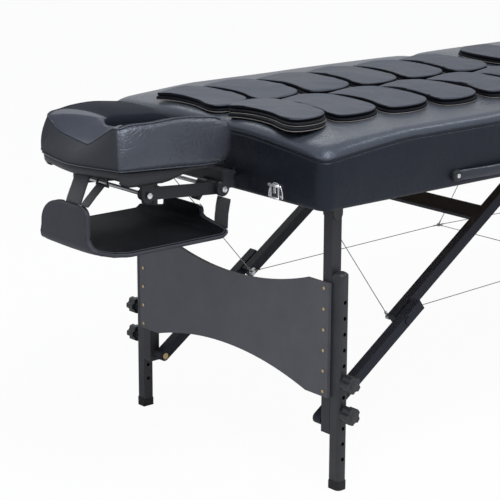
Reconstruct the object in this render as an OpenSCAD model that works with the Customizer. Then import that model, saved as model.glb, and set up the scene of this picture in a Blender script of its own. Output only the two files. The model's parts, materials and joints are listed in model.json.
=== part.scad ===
// Folding massage table: a padded top in two halves on folding, telescoping legs,
// with cable-stayed knee braces, a face cradle and a hanging arm sling.

/* [Top] */
// Length of each half of the top
half_l = 915; // [800:5:1000]
// Width of the top
deck_w = 711; // [660:1:800]
// Height of the underside of the frame above the floor
under_h = 594; // [560:1:640]
// Gap between the two halves at the fold
fold_gap = 2; // [1:0.5:4]
// Corner radius of the top, seen from above
corner_r = 24; // [16:1:40]
// Height of the wooden frame rails
rail_h = 62; // [50:1:80]
// Thickness of the wooden frame rails
rail_t = 16; // [12:1:20]
// Width of the cross rails that carry the legs and braces
cross_rail_w = 44; // [36:1:60]
// Thickness of the deck board
board_t = 5; // [4:0.5:8]
// Height of the padding from the board to the top seam
pad_h = 54; // [40:1:70]
// Rise of the crowned top above the seam
crown_h = 20; // [10:1:26]
// Drop of the top seam at the corners, where the cover is drawn down
corner_drop = 20; // [5:1:24]
// Thickness of the leather side band with its lining
band_t = 4; // [3:0.5:6]

/* [Leaf pads] */
// Length of a leaf pad from tip to tip
leaf_l = 236; // [180:1:238]
// Width of a leaf pad
leaf_w = 150; // [110:1:152]
// Thickness of one layer of a leaf pad
leaf_t = 8; // [5:0.5:12]
// Distance between leaf pads along the table
leaf_pitch = 148; // [146:1:150]
// Leaf pads in each row on one half
leaf_count = 6; // [1:1:6]

/* [Legs] */
// Distance from the end of the top to the middle of a leg
leg_inset_x = 76; // [70:1:100]
// Distance from the side of the top to the middle of a leg
leg_inset_y = 56; // [50:1:80]
// Side of the square upper leg tube
tube = 25; // [20:1:30]
// Wall of the upper leg tube
tube_wall = 1.6; // [1.2:0.1:3]
// Height of the upper leg's lower end above the floor
upper_leg_z = 115; // [100:1:125]
// Width of the lower leg along the table
low_w = 24; // [18:1:28]
// Depth of the lower leg across the table
low_d = 27; // [22:1:30]
// Height of the top of the lower leg's tube above the floor
low_top = 446; // [430:1:460]
// Diameter of the height holes
hole_d = 8.4; // [6:0.2:10]
// Distance between height holes
hole_pitch = 33; // [25:1:36]
// Number of height holes
hole_count = 11; // [5:1:12]
// Height of the lowest height hole above the floor
hole_low = 66; // [60:1:80]
// Knob diameter
knob_d = 36; // [28:1:40]
// Knob height, from the leg to its end
knob_h = 30; // [26:1:34]
// Thickness of the end panel
panel_t = 8; // [6:0.5:12]
// Height of the end panel's upper corners above the floor
panel_top = 432; // [420:1:440]
// Height of the end panel's lower corners above the floor
panel_bottom = 194; // [180:1:210]
// Dip of the end panel's upper edge
panel_dip = 41; // [20:1:60]
// Rise of the end panel's lower edge
panel_rise = 37; // [20:1:60]

/* [Braces] */
// Height of the lower brace pivot above the floor
pivot_z = 133; // [128:1:150]
// Distance of the upper brace pivot from the fold
arm_top_x = 200; // [170:1:240]
// Width of a brace arm across the table
arm_w = 22; // [18:1:24]
// Depth of a brace arm
arm_d = 24; // [20:1:25]
// Width of the crossbar between the upper arms
crossbar_w = 38; // [30:1:50]
// Thickness of the crossbar
crossbar_t = 10; // [8:1:14]
// Diameter of the stay cables
cable_d = 2; // [1.6:0.1:3]
// Height of the cable junctions under the fold
junction_z = 314; // [290:1:340]
// Distance of the cable junctions inward from the knees
junction_in = 7.5; // [0:0.5:20]

/* [Face cradle] */
// Reach of the cradle cushion beyond the end of the top
cradle_reach = 340; // [320:1:360]
// Gap between the cradle cushion and the end of the top
cradle_gap = 56; // [50:1:70]
// Width of the cradle cushion
cradle_w = 300; // [270:1:320]
// Thickness of the cradle cushion
cradle_t = 82; // [60:1:90]
// Width of the opening for the face
face_gap = 92; // [80:1:110]
// Height of the underside of the cradle cushion above the underside of the frame, at its middle
cradle_up = 84; // [76:1:96]
// Forward slope of the cradle
cradle_tilt = 3.5; // [0:0.5:8]
// Diameter of the cradle posts
post_d = 12.6; // [10:0.2:16]
// Distance of the cradle posts from the middle
post_y = 90; // [70:1:110]

/* [Arm sling] */
// Length of the sling along the table
sling_l = 305; // [280:1:310]
// Width of the sling
sling_w = 296; // [260:1:310]
// Drop of the underside of the sling below the underside of the frame
sling_drop = 82; // [70:1:90]
// Thickness of the padded sling
sling_t = 16; // [10:1:22]

/* [Hidden] */
$fn = 48;

// Clearances
seat = 0.3; // between a soft or separate piece and what it sits on
run_gap = 0.05; // radial, between a pin and its bore
slide_gap = 0.4; // between sliding faces
over = 1; // overrun of a cut

// Places that several pieces share. The middle of the fold is the middle of the table.
end_x = fold_gap / 2 + half_l; // outer end of each half
side_y = deck_w / 2;
rail_top = under_h + rail_h;
board_top = rail_top + board_t;
seam_z = board_top + pad_h;
crown_z = seam_z + crown_h;
leg_x = end_x - leg_inset_x;
leg_y = side_y - leg_inset_y;
pin_d = 8;
hinge_plate_t = 3;
hinge_z = under_h - hinge_plate_t - tube / 2 * sqrt(2) - hinge_plate_t / 2; // leg hinge pin

// The latch plates on both ends
latch_y = 218;
latch_w = 40;
latch_h = 34;
latch_t = 2;

// The origin stands on the floor under the middle of the whole object
sling_lead = 20; // the sling reaches this far in front of the cushion
sling_front = end_x + cradle_reach + sling_lead; // front of the sling's rolled end
keeper_reach = seat + latch_t * 1.5;
to_origin = (sling_front - end_x - keeper_reach) / 2;
module placed() { translate([to_origin, 0, 0]) children(); }
module head_half() { placed() children(); }
module foot_half() { placed() mirror([1, 0, 0]) children(); }
module both_sides() { children(); mirror([0, 1, 0]) children(); }
module along_y(x, z, from_y, to_y, r) {
    translate([x, from_y, z]) rotate([-90, 0, 0]) cylinder(h = to_y - from_y, r = r);
}

// Rounded outline of one half of the top, seen from above, drawn in from its edge by inset.
// Each side has points near its corners, where the seam drops.
side_points = [40, 85, 135, 190, 250]; // from the corners along the sides
function outline(inset, steps = 4) = let (
    r = max(corner_r - inset, corner_r * 0.2),
    hx = half_l / 2 - inset - r,
    hy = side_y - inset - r
) [for (q = [0:3]) let (
    cx = q == 0 || q == 3 ? hx : -hx,
    cy = q < 2 ? hy : -hy,
    along = q % 2 == 0 ? [-1, 0] : [0, -1],
    turn = q < 2 ? 1 : -1
) each concat(
    [for (i = [0:steps]) let (a = 90 * (q + i / steps)) [cx + r * cos(a), cy + r * sin(a)]],
    let (span = q % 2 == 0 ? 2 * hx : 2 * hy, start = [cx, cy] + r * [cos(90 * (q + 1)), sin(90 * (q + 1))])
        concat(
            [for (d = side_points) start + turn * d * span / half_l * along],
            [for (i = [len(side_points) - 1:-1:0])
                start + turn * (span - side_points[i] * span / half_l) * along]
        )
)];
mid_x = -(fold_gap / 2 + half_l / 2); // middle of the head half
module outline_area(inset) {
    r = corner_r - inset;
    hx = half_l / 2 - inset;
    hy = side_y - inset;
    translate([mid_x, 0]) {
        square([2 * hx, 2 * (hy - r)], center = true);
        square([2 * (hx - r), 2 * hy], center = true);
        for (sx = [-1, 1], sy = [-1, 1]) translate([sx * (hx - r), sy * (hy - r)]) circle(r);
    }
}

// Wooden frame: two side rails, end rails and two cross rails, butted together
cross_x = [leg_x, arm_top_x]; // middles of the cross rails
frame_in = band_t + seat; // frame's outside from the edge of the top
module rail_block(x0, x1, y0, y1) {
    translate([x0, y0, under_h]) cube([x1 - x0, y1 - y0, rail_h]);
}
module frame_rails_shape() {
    far_x = end_x - frame_in;
    near_x = fold_gap / 2 + frame_in;
    rail_y = side_y - frame_in;
    difference() {
        intersection() {
            translate([0, 0, under_h]) linear_extrude(rail_h) outline_area(frame_in);
            union() {
                both_sides() rail_block(-far_x, -near_x, rail_y - rail_t, rail_y);
                rail_block(-far_x, -far_x + rail_t, -rail_y + rail_t + seat, rail_y - rail_t - seat);
                rail_block(-near_x - rail_t, -near_x, -rail_y + rail_t + seat, rail_y - rail_t - seat);
                for (x = cross_x)
                    rail_block(-x - cross_rail_w / 2, -x + cross_rail_w / 2,
                        -rail_y + rail_t + seat, rail_y - rail_t - seat);
            }
        }
        // sockets for the cradle posts
        both_sides() translate([-far_x - over, post_y, post_z]) rotate([0, 90, 0])
            cylinder(h = rail_t + 2 * over, r = post_d / 2 + run_gap);
    }
}
module head_frame_rails() { color("burlywood") head_half() frame_rails_shape(); }
module foot_frame_rails() { color("burlywood") foot_half() frame_rails_shape(); }

// Plywood deck board on the rails
module board_shape() {
    translate([0, 0, rail_top]) linear_extrude(board_t) outline_area(frame_in);
}
module head_board() { color("tan") head_half() board_shape(); }
module foot_board() { color("tan") foot_half() board_shape(); }

// Leather side band, wrapped round the rails and the foam, up to where the seam is lowest
band_top = seam_z - corner_drop;
module side_band_shape() {
    difference() {
        translate([0, 0, under_h]) linear_extrude(band_top - under_h) outline_area(0);
        translate([0, 0, under_h - over]) linear_extrude(band_top - under_h + 2 * over)
            outline_area(band_t);
        both_sides() translate([-end_x - over, post_y, post_z]) rotate([0, 90, 0])
            cylinder(h = band_t + 2 * over, r = post_d / 2 + slide_gap);
    }
}
module head_side_band() { color([0.13, 0.13, 0.15]) head_half() side_band_shape(); }
module foot_side_band() { color([0.13, 0.13, 0.15]) foot_half() side_band_shape(); }

// Foam and top panel: straight inside the band, then the seam, which drops towards each corner,
// the rolled edge and the crown. Each ring is the outline drawn in by an inset at a height.
drop_reach = 230; // how far from a corner the seam starts to drop
drop_fade = 60; // how far in from the edge the drop dies out
function drop(p, inset) = let (
    d = norm([half_l / 2 - abs(p[0]), side_y - abs(p[1])]),
    k = max(0, 1 - d / drop_reach)
) corner_drop * pow(k, 1.2) * exp(-inset / drop_fade);
plain_rings = [[frame_in, board_top], [frame_in, band_top + seat], [0, band_top + seat]];
crown_rings = [
    [0, seam_z + seat * 2],
    [crown_h * 0.12, seam_z + crown_h * 0.4],
    [crown_h * 0.45, seam_z + crown_h * 0.64],
    [crown_h, seam_z + crown_h * 0.78],
    [crown_h * 2.8, seam_z + crown_h * 0.9]
];
flat_in = crown_h * 6; // the top is flat from here in
module top_cushion_shape() {
    rings = concat(
        [for (g = plain_rings) [for (p = outline(g[0])) [p[0] + mid_x, p[1], g[1]]]],
        [for (g = crown_rings) [for (p = outline(g[0])) [p[0] + mid_x, p[1], g[1] - drop(p, g[0])]]],
        [[for (p = outline(flat_in)) [p[0] + mid_x, p[1], crown_z]]]
    );
    n = len(rings[0]);
    pts = [for (ring = rings) each ring];
    last = (len(rings) - 1) * n;
    polyhedron(points = pts, faces = concat(
        [[for (i = [0:n - 1]) i]],
        [for (k = [0:len(rings) - 2], i = [0:n - 1]) let (j = (i + 1) % n)
            each [[k * n + i, (k + 1) * n + i, (k + 1) * n + j], [k * n + i, (k + 1) * n + j, k * n + j]]],
        [[for (i = [n - 1:-1:0]) last + i]]
    ));
}
module head_top_cushion() { color([0.12, 0.12, 0.14]) head_half() top_cushion_shape(); }
module foot_top_cushion() { color([0.12, 0.12, 0.14]) foot_half() top_cushion_shape(); }

// Leaf pads: two quilted layers with a groove between them, on a curved outline that nests with
// the next pad. Shares of half the pad's width and length.
leaf_outline_shares = [
    [0.94, 0.84], [1, 0.29], [0.74, -0.44], [0.31, -0.87], [-0.36, -1], [-1, -0.87],
    [-0.97, -0.64], [-0.6, -0.15], [-0.5, 0.28], [-0.94, 0.66], [0.38, 1]
];
leaf_heart_shares = [0.1, 0.2]; // the point that the rings draw in to
leaf_ring_shares = [[0.93, 0], [1, 0.25], [0.93, 0.5], [0.98, 0.72], [0.72, 1]]; // size and height
function curve_point(a, b, c, d, t) = ((2 * b) + (c - a) * t + (2 * a - 5 * b + 4 * c - d) * t * t
    + (3 * b - a - 3 * c + d) * t * t * t) / 2;
function closed_curve(points, steps) = let (n = len(points)) [for (i = [0:n - 1], k = [0:steps - 1])
    curve_point(points[(i + n - 1) % n], points[i], points[(i + 1) % n], points[(i + 2) % n], k / steps)];
leaf_curve = closed_curve(leaf_outline_shares, 2);
module leaf_pad() {
    n = len(leaf_curve);
    pts = [for (g = leaf_ring_shares, q = leaf_curve) let (e = leaf_heart_shares + (q - leaf_heart_shares) * g[0])
        [leaf_w / 2 * e[0], leaf_l / 2 * e[1], 2 * leaf_t * g[1]]];
    last = (len(leaf_ring_shares) - 1) * n;
    polyhedron(points = pts, faces = concat(
        [[for (i = [n - 1:-1:0]) i]],
        [for (k = [0:len(leaf_ring_shares) - 2], i = [0:n - 1]) let (j = (i + 1) % n)
            each [[k * n + i, (k + 1) * n + j, (k + 1) * n + i], [k * n + i, k * n + j, (k + 1) * n + j]]],
        [[for (i = [0:n - 1]) last + i]]
    ));
}
near_row_y = 121; // middle of the near row, from the middle of the table
far_row_y = 119; // and of the far row
first_leaf = 86; // middle of the first pad from the end of the top
module leaf_pads_shape() {
    for (y = [-near_row_y, far_row_y], i = [0:leaf_count - 1])
        translate([-end_x + first_leaf + i * leaf_pitch, y, crown_z + seat]) leaf_pad();
}
module head_leaf_pads() { color([0.2, 0.2, 0.22]) head_half() leaf_pads_shape(); }
module foot_leaf_pads() { color([0.2, 0.2, 0.22]) placed() rotate([0, 0, 180]) leaf_pads_shape(); }

// Brackets under the cross rails: a plate and two cheeks with a pin, one for each leg and brace arm
arm_off = 5; // the brace pivots lie this far on the fold side of the leg's middle
cheek_r = tube / 2 - slide_gap;
module bracket(x, y, z, w) {
    cheek_y = w / 2 + slide_gap;
    plate_z = under_h - hinge_plate_t;
    difference() {
        translate([x, y, 0]) {
            translate([-cheek_r, -cheek_y - hinge_plate_t, plate_z])
                cube([2 * cheek_r, 2 * (cheek_y + hinge_plate_t), hinge_plate_t]);
            for (s = [-1, 1]) translate([0, s * (cheek_y + hinge_plate_t / 2), 0]) {
                translate([-cheek_r, -hinge_plate_t / 2, z])
                    cube([2 * cheek_r, hinge_plate_t, under_h - z - over]);
                along_y(0, z, -hinge_plate_t / 2, hinge_plate_t / 2, cheek_r);
            }
        }
        along_y(x, z, y - cheek_y - hinge_plate_t - over, y + cheek_y + hinge_plate_t + over, pin_d / 2);
    }
    along_y(x, z, y - cheek_y - hinge_plate_t, y + cheek_y + hinge_plate_t, pin_d / 2);
}

// Brace geometry: straight when the table is open, flat under the frame when it is folded
leg_gap = 9.5; // between the leg's inner face and the lower arm
arm_gap = 5; // between the lower and the upper arm
low_arm_y = leg_y - tube / 2 - leg_gap - arm_w; // inner face of the lower arm
up_arm_y = low_arm_y - arm_gap - arm_w; // inner face of the upper arm
pivot_x = -leg_x + arm_off;
arm_top_z = hinge_z + arm_off;
arm_span = sqrt(pow(pivot_x + arm_top_x, 2) + pow(arm_top_z - pivot_z, 2));
arm_angle = atan2(arm_top_z - pivot_z, -arm_top_x - pivot_x);
folded_pivot_x = -leg_x + hinge_z - pivot_z;
arm_diff = -arm_top_x - folded_pivot_x;
up_arm_l = (arm_span + arm_diff) / 2;
low_arm_l = (arm_span - arm_diff) / 2;
knee_x = -arm_top_x - up_arm_l * cos(arm_angle);
knee_z = arm_top_z - up_arm_l * sin(arm_angle);

module brackets_shape() {
    both_sides() {
        bracket(-leg_x, -leg_y, hinge_z, tube);
        bracket(-arm_top_x, -up_arm_y - arm_w / 2, arm_top_z, arm_w);
    }
}
module head_brackets() { color([0.3, 0.3, 0.32]) head_half() brackets_shape(); }
module foot_brackets() { color([0.3, 0.3, 0.32]) foot_half() brackets_shape(); }

// Carrying handle: a padded strap bowed out from the side, with a screw through each end cap
handle_span = 252;
handle_x = 430; // middle of the handle from the fold
handle_bow = 8;
handle_t = 3.5;
handle_h = 22;
handle_up = 22; // middle of the handle above the underside
handle_z = under_h + handle_up;
handle_cap = 30;
module handle_shape() {
    r = (pow(handle_span / 2, 2) + pow(handle_bow, 2)) / (2 * handle_bow);
    face_y = -side_y - seat;
    translate([-handle_x, 0, handle_z - handle_h / 2]) linear_extrude(handle_h) {
        intersection() {
            difference() {
                translate([0, face_y - handle_bow + r]) circle(r + handle_t, $fn = 96);
                translate([0, face_y - handle_bow + r]) circle(r, $fn = 96);
            }
            translate([-handle_span / 2, face_y - 2 * handle_bow]) square([handle_span, 2 * handle_bow]);
        }
        for (s = [-1, 1]) translate([s * handle_span / 2 - handle_cap / 2, face_y - handle_t])
            square([handle_cap, handle_t]);
    }
    for (s = [-1, 1])
        along_y(-handle_x + s * handle_span / 2, handle_z, face_y - handle_t * 2, face_y - handle_t,
            handle_h * 0.27);
}
module head_handle() { color([0.16, 0.16, 0.18]) head_half() handle_shape(); }
module foot_handle() { color([0.16, 0.16, 0.18]) foot_half() handle_shape(); }

// Draw latches on the head end and their keepers on the foot end
latch_up = 4; // underside of the latches above the underside of the frame
latch_z = under_h + latch_up;
module latch_plate() {
    translate([-end_x - seat - latch_t, -latch_y - latch_w / 2, latch_z]) cube([latch_t, latch_w, latch_h]);
}
latch_pin_r = 3;
latch_pin_x = -end_x - seat - latch_t - slide_gap - latch_pin_r;
latch_pin_z = latch_z + latch_h * 0.74;
module latch_bases() {
    color("gainsboro") head_half() both_sides() {
        latch_plate();
        for (s = [-1, 1]) translate([0, -latch_y + s * latch_w * 0.4, 0]) difference() {
            translate([latch_pin_x - latch_pin_r, -latch_t / 2, latch_pin_z - latch_pin_r])
                cube([2 * latch_pin_r + slide_gap + over / 2, latch_t, 2 * latch_pin_r]);
            along_y(latch_pin_x, latch_pin_z, -latch_t, latch_t, latch_pin_r / 2 + run_gap);
        }
    }
}
module latch_lever() {
    lever_w = latch_w * 0.8 - latch_t - 2 * slide_gap;
    along_y(latch_pin_x, latch_pin_z, -latch_y - lever_w / 2, -latch_y + lever_w / 2, latch_pin_r);
    along_y(latch_pin_x, latch_pin_z, -latch_y - latch_w / 2, -latch_y + latch_w / 2, latch_pin_r / 2);
    translate([latch_pin_x - latch_pin_r / 2, -latch_y - lever_w / 2, latch_z])
        cube([latch_pin_r, lever_w, latch_pin_z - latch_z]);
    along_y(latch_pin_x, latch_z, -latch_y - lever_w / 2, -latch_y + lever_w / 2, latch_pin_r * 0.7);
}
module latch_lever_near() { color("silver") head_half() latch_lever(); }
module latch_lever_far() { color("silver") head_half() mirror([0, 1, 0]) latch_lever(); }
module latch_keepers() {
    color("gainsboro") foot_half() both_sides() {
        latch_plate();
        translate([-end_x - seat - latch_t * 1.5, -latch_y - latch_w / 4, latch_z + latch_h * 0.6])
            cube([latch_t, latch_w / 2, latch_t]);
    }
}

// Fold hinges: leaves under the fold rails with interleaved knuckles round a pin
fold_hinge_y = 250;
knuckle_r = 4.5;
knuckle_l = 14;
leaf_plate_t = 2;
fold_z = under_h - knuckle_r - over; // fold axis
leaf_plate_w = 34;
module fold_leaf(knuckles) {
    for (y = [-fold_hinge_y, fold_hinge_y]) {
        difference() {
            union() {
                translate([-leaf_plate_w, y - 2.5 * knuckle_l, under_h - leaf_plate_t])
                    cube([leaf_plate_w - knuckle_r - over, 5 * knuckle_l, leaf_plate_t]);
                for (k = knuckles) {
                    y0 = y + (k - 2.5) * knuckle_l + slide_gap / 2;
                    along_y(0, fold_z, y0, y0 + knuckle_l - slide_gap, knuckle_r);
                    translate([-knuckle_r - 2 * over, y0, fold_z])
                        cube([knuckle_r + over, knuckle_l - slide_gap, under_h - fold_z - leaf_plate_t / 2]);
                }
            }
            along_y(0, fold_z, y - 3 * knuckle_l, y + 3 * knuckle_l, knuckle_r / 2 + run_gap);
        }
    }
}
module head_fold_hinges() {
    color("silver") head_half() {
        fold_leaf([0, 2, 4]);
        for (y = [-fold_hinge_y, fold_hinge_y])
            along_y(0, fold_z, y - 2.5 * knuckle_l, y + 2.5 * knuckle_l, knuckle_r / 2);
    }
}
module foot_fold_hinges() { color("silver") foot_half() fold_leaf([1, 3]); }

// Upper legs: square tubes, drilled for the hinge pin, the knob bolts, the panel screws and the brace pin
knob_holes = [5, 3]; // height holes that the upper and the lower knob use, counted from the lowest
function hole_z(i) = hole_low + i * hole_pitch;
screw_count = 6;
screw_r = 2;
screw_head_r = 3.4;
screw_head_t = 1.2;
screw_margin = 11;
function screw_z(i) = panel_bottom + screw_margin
    + i * (panel_top - panel_bottom - 2 * screw_margin) / (screw_count - 1);
module upper_legs_shape() {
    both_sides() difference() {
        translate([-leg_x - tube / 2, -leg_y - tube / 2, upper_leg_z])
            cube([tube, tube, hinge_z + tube / 2 - upper_leg_z]);
        translate([-leg_x - tube / 2 + tube_wall, -leg_y - tube / 2 + tube_wall, upper_leg_z - over])
            cube([tube - 2 * tube_wall, tube - 2 * tube_wall, hinge_z + tube / 2 - upper_leg_z + 2 * over]);
        along_y(-leg_x, hinge_z, -leg_y - tube, -leg_y + tube, pin_d / 2 + run_gap);
        along_y(pivot_x, pivot_z, -leg_y - tube, -leg_y + tube, pin_d / 2);
        for (k = knob_holes) along_y(-leg_x, hole_z(k), -leg_y - tube, -leg_y, hole_d / 2);
        for (i = [0:screw_count - 1])
            translate([-leg_x - tube, -leg_y, screw_z(i)]) rotate([0, 90, 0]) cylinder(h = tube, r = screw_r);
    }
}
module head_upper_legs() { color([0.22, 0.22, 0.24]) head_half() upper_legs_shape(); }
module foot_upper_legs() { color([0.22, 0.22, 0.24]) foot_half() upper_legs_shape(); }

// Curved end panel across the outer faces of the legs
panel_flat = 66; // straight ends of its edges, over the legs
module end_panel_shape() {
    panel_y = leg_y + tube / 2;
    half = panel_y - panel_flat;
    top_r = (half * half + panel_dip * panel_dip) / (2 * panel_dip);
    bottom_r = (half * half + panel_rise * panel_rise) / (2 * panel_rise);
    translate([-leg_x - tube / 2 - panel_t, 0, 0]) difference() {
        rotate([90, 0, 90]) linear_extrude(panel_t) difference() {
            translate([-panel_y, panel_bottom]) square([2 * panel_y, panel_top - panel_bottom]);
            translate([0, panel_top - panel_dip + top_r]) circle(top_r, $fn = 128);
            translate([0, panel_bottom + panel_rise - bottom_r]) circle(bottom_r, $fn = 128);
        }
        both_sides() for (i = [0:screw_count - 1])
            translate([-over, -leg_y, screw_z(i)]) rotate([0, 90, 0])
                cylinder(h = panel_t + 2 * over, r = screw_r);
    }
}
module head_end_panel() { color([0.2, 0.2, 0.21]) head_half() end_panel_shape(); }
module foot_end_panel() { color([0.2, 0.2, 0.21]) foot_half() end_panel_shape(); }

// Panel screws, and the stepped bolts that carry the lower arms
bolt_head_t = 2.5;
module leg_screws_shape() {
    face_x = -leg_x - tube / 2 - panel_t;
    both_sides() {
        for (i = [0:screw_count - 1]) translate([face_x, -leg_y, screw_z(i)]) rotate([0, 90, 0]) {
            translate([0, 0, -screw_head_t]) cylinder(h = screw_head_t, r = screw_head_r);
            cylinder(h = panel_t + 2 * tube_wall, r = screw_r);
        }
        along_y(pivot_x, pivot_z, -leg_y - tube / 2, -low_arm_y + bolt_head_t, pin_d / 2);
        along_y(pivot_x, pivot_z, -leg_y + tube / 2, -low_arm_y - arm_w - slide_gap, pin_d);
        along_y(pivot_x, pivot_z, -low_arm_y + slide_gap, -low_arm_y + bolt_head_t, pin_d * 0.9);
    }
}
module head_leg_screws() { color("goldenrod") head_half() leg_screws_shape(); }
module foot_leg_screws() { color("goldenrod") foot_half() leg_screws_shape(); }

// Lower legs: tubes with a rounded outer side and a row of height holes, a domed cap and a rubber shoe
low_round = 8;
low_wall = 2;
shoe_h = 18;
shoe_wall = 1.5;
cap_h = 12;
module low_section(grow) {
    w = low_w / 2 + grow;
    r = low_round + grow;
    y_in = -tube / 2 - slide_gap + min(grow, slide_gap / 2);
    y_out = -tube / 2 - slide_gap - low_d - grow;
    translate([-w, y_out + r]) square([2 * w, y_in - y_out - r]);
    translate([-w + r, y_out]) square([2 * (w - r), low_d / 2]);
    for (s = [-1, 1]) translate([s * (w - r), y_out + r]) circle(r);
}
module lower_leg() {
    mid_y = -tube / 2 - slide_gap - low_d / 2;
    translate([-leg_x, -leg_y, 0]) {
        difference() {
            translate([0, 0, shoe_h]) linear_extrude(low_top - shoe_h) low_section(0);
            translate([0, 0, shoe_h + over]) linear_extrude(low_top - shoe_h) low_section(-low_wall);
            for (i = [0:hole_count - 1]) along_y(0, hole_z(i), -tube / 2 - 2 * low_d, -tube / 2, hole_d / 2);
        }
        linear_extrude(shoe_h) low_section(shoe_wall);
        translate([0, 0, low_top]) intersection() {
            linear_extrude(cap_h) low_section(0);
            translate([0, mid_y, cap_h - low_d * 0.72]) sphere(low_d * 0.72);
        }
    }
}
module head_lower_leg_near() { color([0.22, 0.22, 0.24]) head_half() lower_leg(); }
module head_lower_leg_far() { color([0.22, 0.22, 0.24]) head_half() mirror([0, 1, 0]) lower_leg(); }
module foot_lower_leg_near() { color([0.22, 0.22, 0.24]) foot_half() lower_leg(); }
module foot_lower_leg_far() { color([0.22, 0.22, 0.24]) foot_half() mirror([0, 1, 0]) lower_leg(); }

// Lobed knobs with a collar and a stud
knob_lobes = 5;
knob_collar = 8;
module knob(k) {
    face_y = -leg_y - tube / 2 - slide_gap - low_d - seat;
    translate([-leg_x, face_y, hole_z(k)]) rotate([90, 0, 0]) {
        cylinder(h = knob_collar, r = knob_d * 0.28);
        translate([0, 0, knob_collar]) difference() {
            cylinder(h = knob_h - seat - knob_collar, r = knob_d / 2);
            for (i = [0:knob_lobes - 1]) rotate([0, 0, i * 360 / knob_lobes])
                translate([knob_d * 0.6, 0, -over]) cylinder(h = knob_h, r = knob_d * 0.2);
        }
        translate([0, 0, -low_d * 0.9]) cylinder(h = low_d, r = hole_d / 2 - 2 * run_gap);
    }
}
module head_knob_near_upper() { color("black") head_half() knob(knob_holes[0]); }
module head_knob_near_lower() { color("black") head_half() knob(knob_holes[1]); }
module head_knob_far_upper() { color("black") head_half() mirror([0, 1, 0]) knob(knob_holes[0]); }
module head_knob_far_lower() { color("black") head_half() mirror([0, 1, 0]) knob(knob_holes[1]); }
module foot_knob_near_upper() { color("black") foot_half() knob(knob_holes[0]); }
module foot_knob_near_lower() { color("black") foot_half() knob(knob_holes[1]); }
module foot_knob_far_upper() { color("black") foot_half() mirror([0, 1, 0]) knob(knob_holes[0]); }
module foot_knob_far_lower() { color("black") foot_half() mirror([0, 1, 0]) knob(knob_holes[1]); }

// Brace arms: bars with one round end, drilled for their pins
low_arm_tail = 50; // past the knee
up_arm_tail = 8;
module arm_bar(length, tail, inner_y) {
    difference() {
        union() {
            translate([0, -inner_y - arm_w, -arm_d / 2]) cube([length + tail, arm_w, arm_d]);
            along_y(0, 0, -inner_y - arm_w, -inner_y, arm_d / 2);
        }
        along_y(0, 0, -inner_y - arm_w - over, -inner_y + over, pin_d / 2 + run_gap);
    }
}
module lower_arms_shape() {
    both_sides() translate([pivot_x, 0, pivot_z]) rotate([0, -arm_angle, 0]) {
        arm_bar(low_arm_l, low_arm_tail, low_arm_y);
        along_y(low_arm_l, 0, -low_arm_y - arm_w - bolt_head_t, -low_arm_y - arm_w, pin_d);
    }
}
module upper_arms_shape() {
    both_sides() translate([-arm_top_x, 0, arm_top_z]) rotate([0, 180 - arm_angle, 0])
        arm_bar(up_arm_l, up_arm_tail, up_arm_y);
}
module head_lower_arms() { color([0.15, 0.15, 0.16]) head_half() lower_arms_shape(); }
module foot_lower_arms() { color([0.15, 0.15, 0.16]) foot_half() lower_arms_shape(); }
module head_upper_arms() { color([0.15, 0.15, 0.16]) head_half() upper_arms_shape(); }
module foot_upper_arms() { color([0.15, 0.15, 0.16]) foot_half() upper_arms_shape(); }

// Crossbar slat between the upper arms
crossbar_place = 170; // from the upper pivots along the arms
module crossbar_shape() {
    bar_y = up_arm_y - seat / 3;
    translate([-arm_top_x, 0, arm_top_z]) rotate([0, 180 - arm_angle, 0])
        translate([crossbar_place - crossbar_w / 2, -bar_y, -crossbar_t / 2])
            cube([crossbar_w, 2 * bar_y, crossbar_t]);
}
module head_crossbar() { color([0.13, 0.13, 0.14]) head_half() crossbar_shape(); }
module foot_crossbar() { color([0.13, 0.13, 0.14]) foot_half() crossbar_shape(); }

// Knee fittings: a bolt head on the inner face of each upper arm and the eye that takes the cables
eye_l = 10;
eye_r = 5;
eye_off = 6; // past the knee along the arm
eye_x = knee_x - eye_off * cos(arm_angle);
eye_z = knee_z - eye_off * sin(arm_angle);
eye_y = up_arm_y - eye_l / 2; // where the cables lie
module knee_fittings_shape() {
    both_sides() {
        along_y(knee_x, knee_z, -up_arm_y, -up_arm_y + bolt_head_t, pin_d);
        along_y(eye_x, eye_z, -up_arm_y, -up_arm_y + eye_l, eye_r);
    }
}
module head_knee_fittings() { color("silver") head_half() knee_fittings_shape(); }
module foot_knee_fittings() { color("silver") foot_half() knee_fittings_shape(); }

// Stay cables, each held at both ends
module cable(p, q) {
    d = q - p;
    translate(p) rotate([0, acos(d[2] / norm(d)), atan2(d[1], d[0])])
        cylinder(h = norm(d), r = cable_d / 2, $fn = 16);
}
function toward(p, q, dist) = p + (q - p) * dist / norm(q - p);
eye_point = [eye_x, -eye_y, eye_z];
junction_y = eye_y - junction_in;
stay_out = 10; // the stay's upper end from the leg, towards the end of the top
stay_in = 38; // and towards its middle
stay_point = [-leg_x - stay_out, -leg_y + stay_in, under_h - seat];
junction_point = [0, -junction_y, junction_z];
hanger_y = 55; // the hangers' upper ends from the middle of the table
hanger_point = [-fold_gap / 2 - rail_t / 2, -hanger_y, under_h - seat];
cable_start = eye_r + over;
module stay_cables_shape() {
    both_sides() cable(toward(eye_point, stay_point, cable_start), stay_point);
}
module head_stay_cables() { color("gray") head_half() stay_cables_shape(); }
module foot_stay_cables() { color("gray") foot_half() stay_cables_shape(); }
junction_r = 3.5;
module centre_cables() {
    color("gray") placed() {
        both_sides() {
            for (s = [0, 1]) mirror([s, 0, 0])
                cable(toward(eye_point, junction_point, cable_start), junction_point);
            cable(junction_point, [0, 0, junction_z]);
            cable(junction_point, hanger_point);
            translate(junction_point) sphere(junction_r);
        }
    }
}

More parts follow.
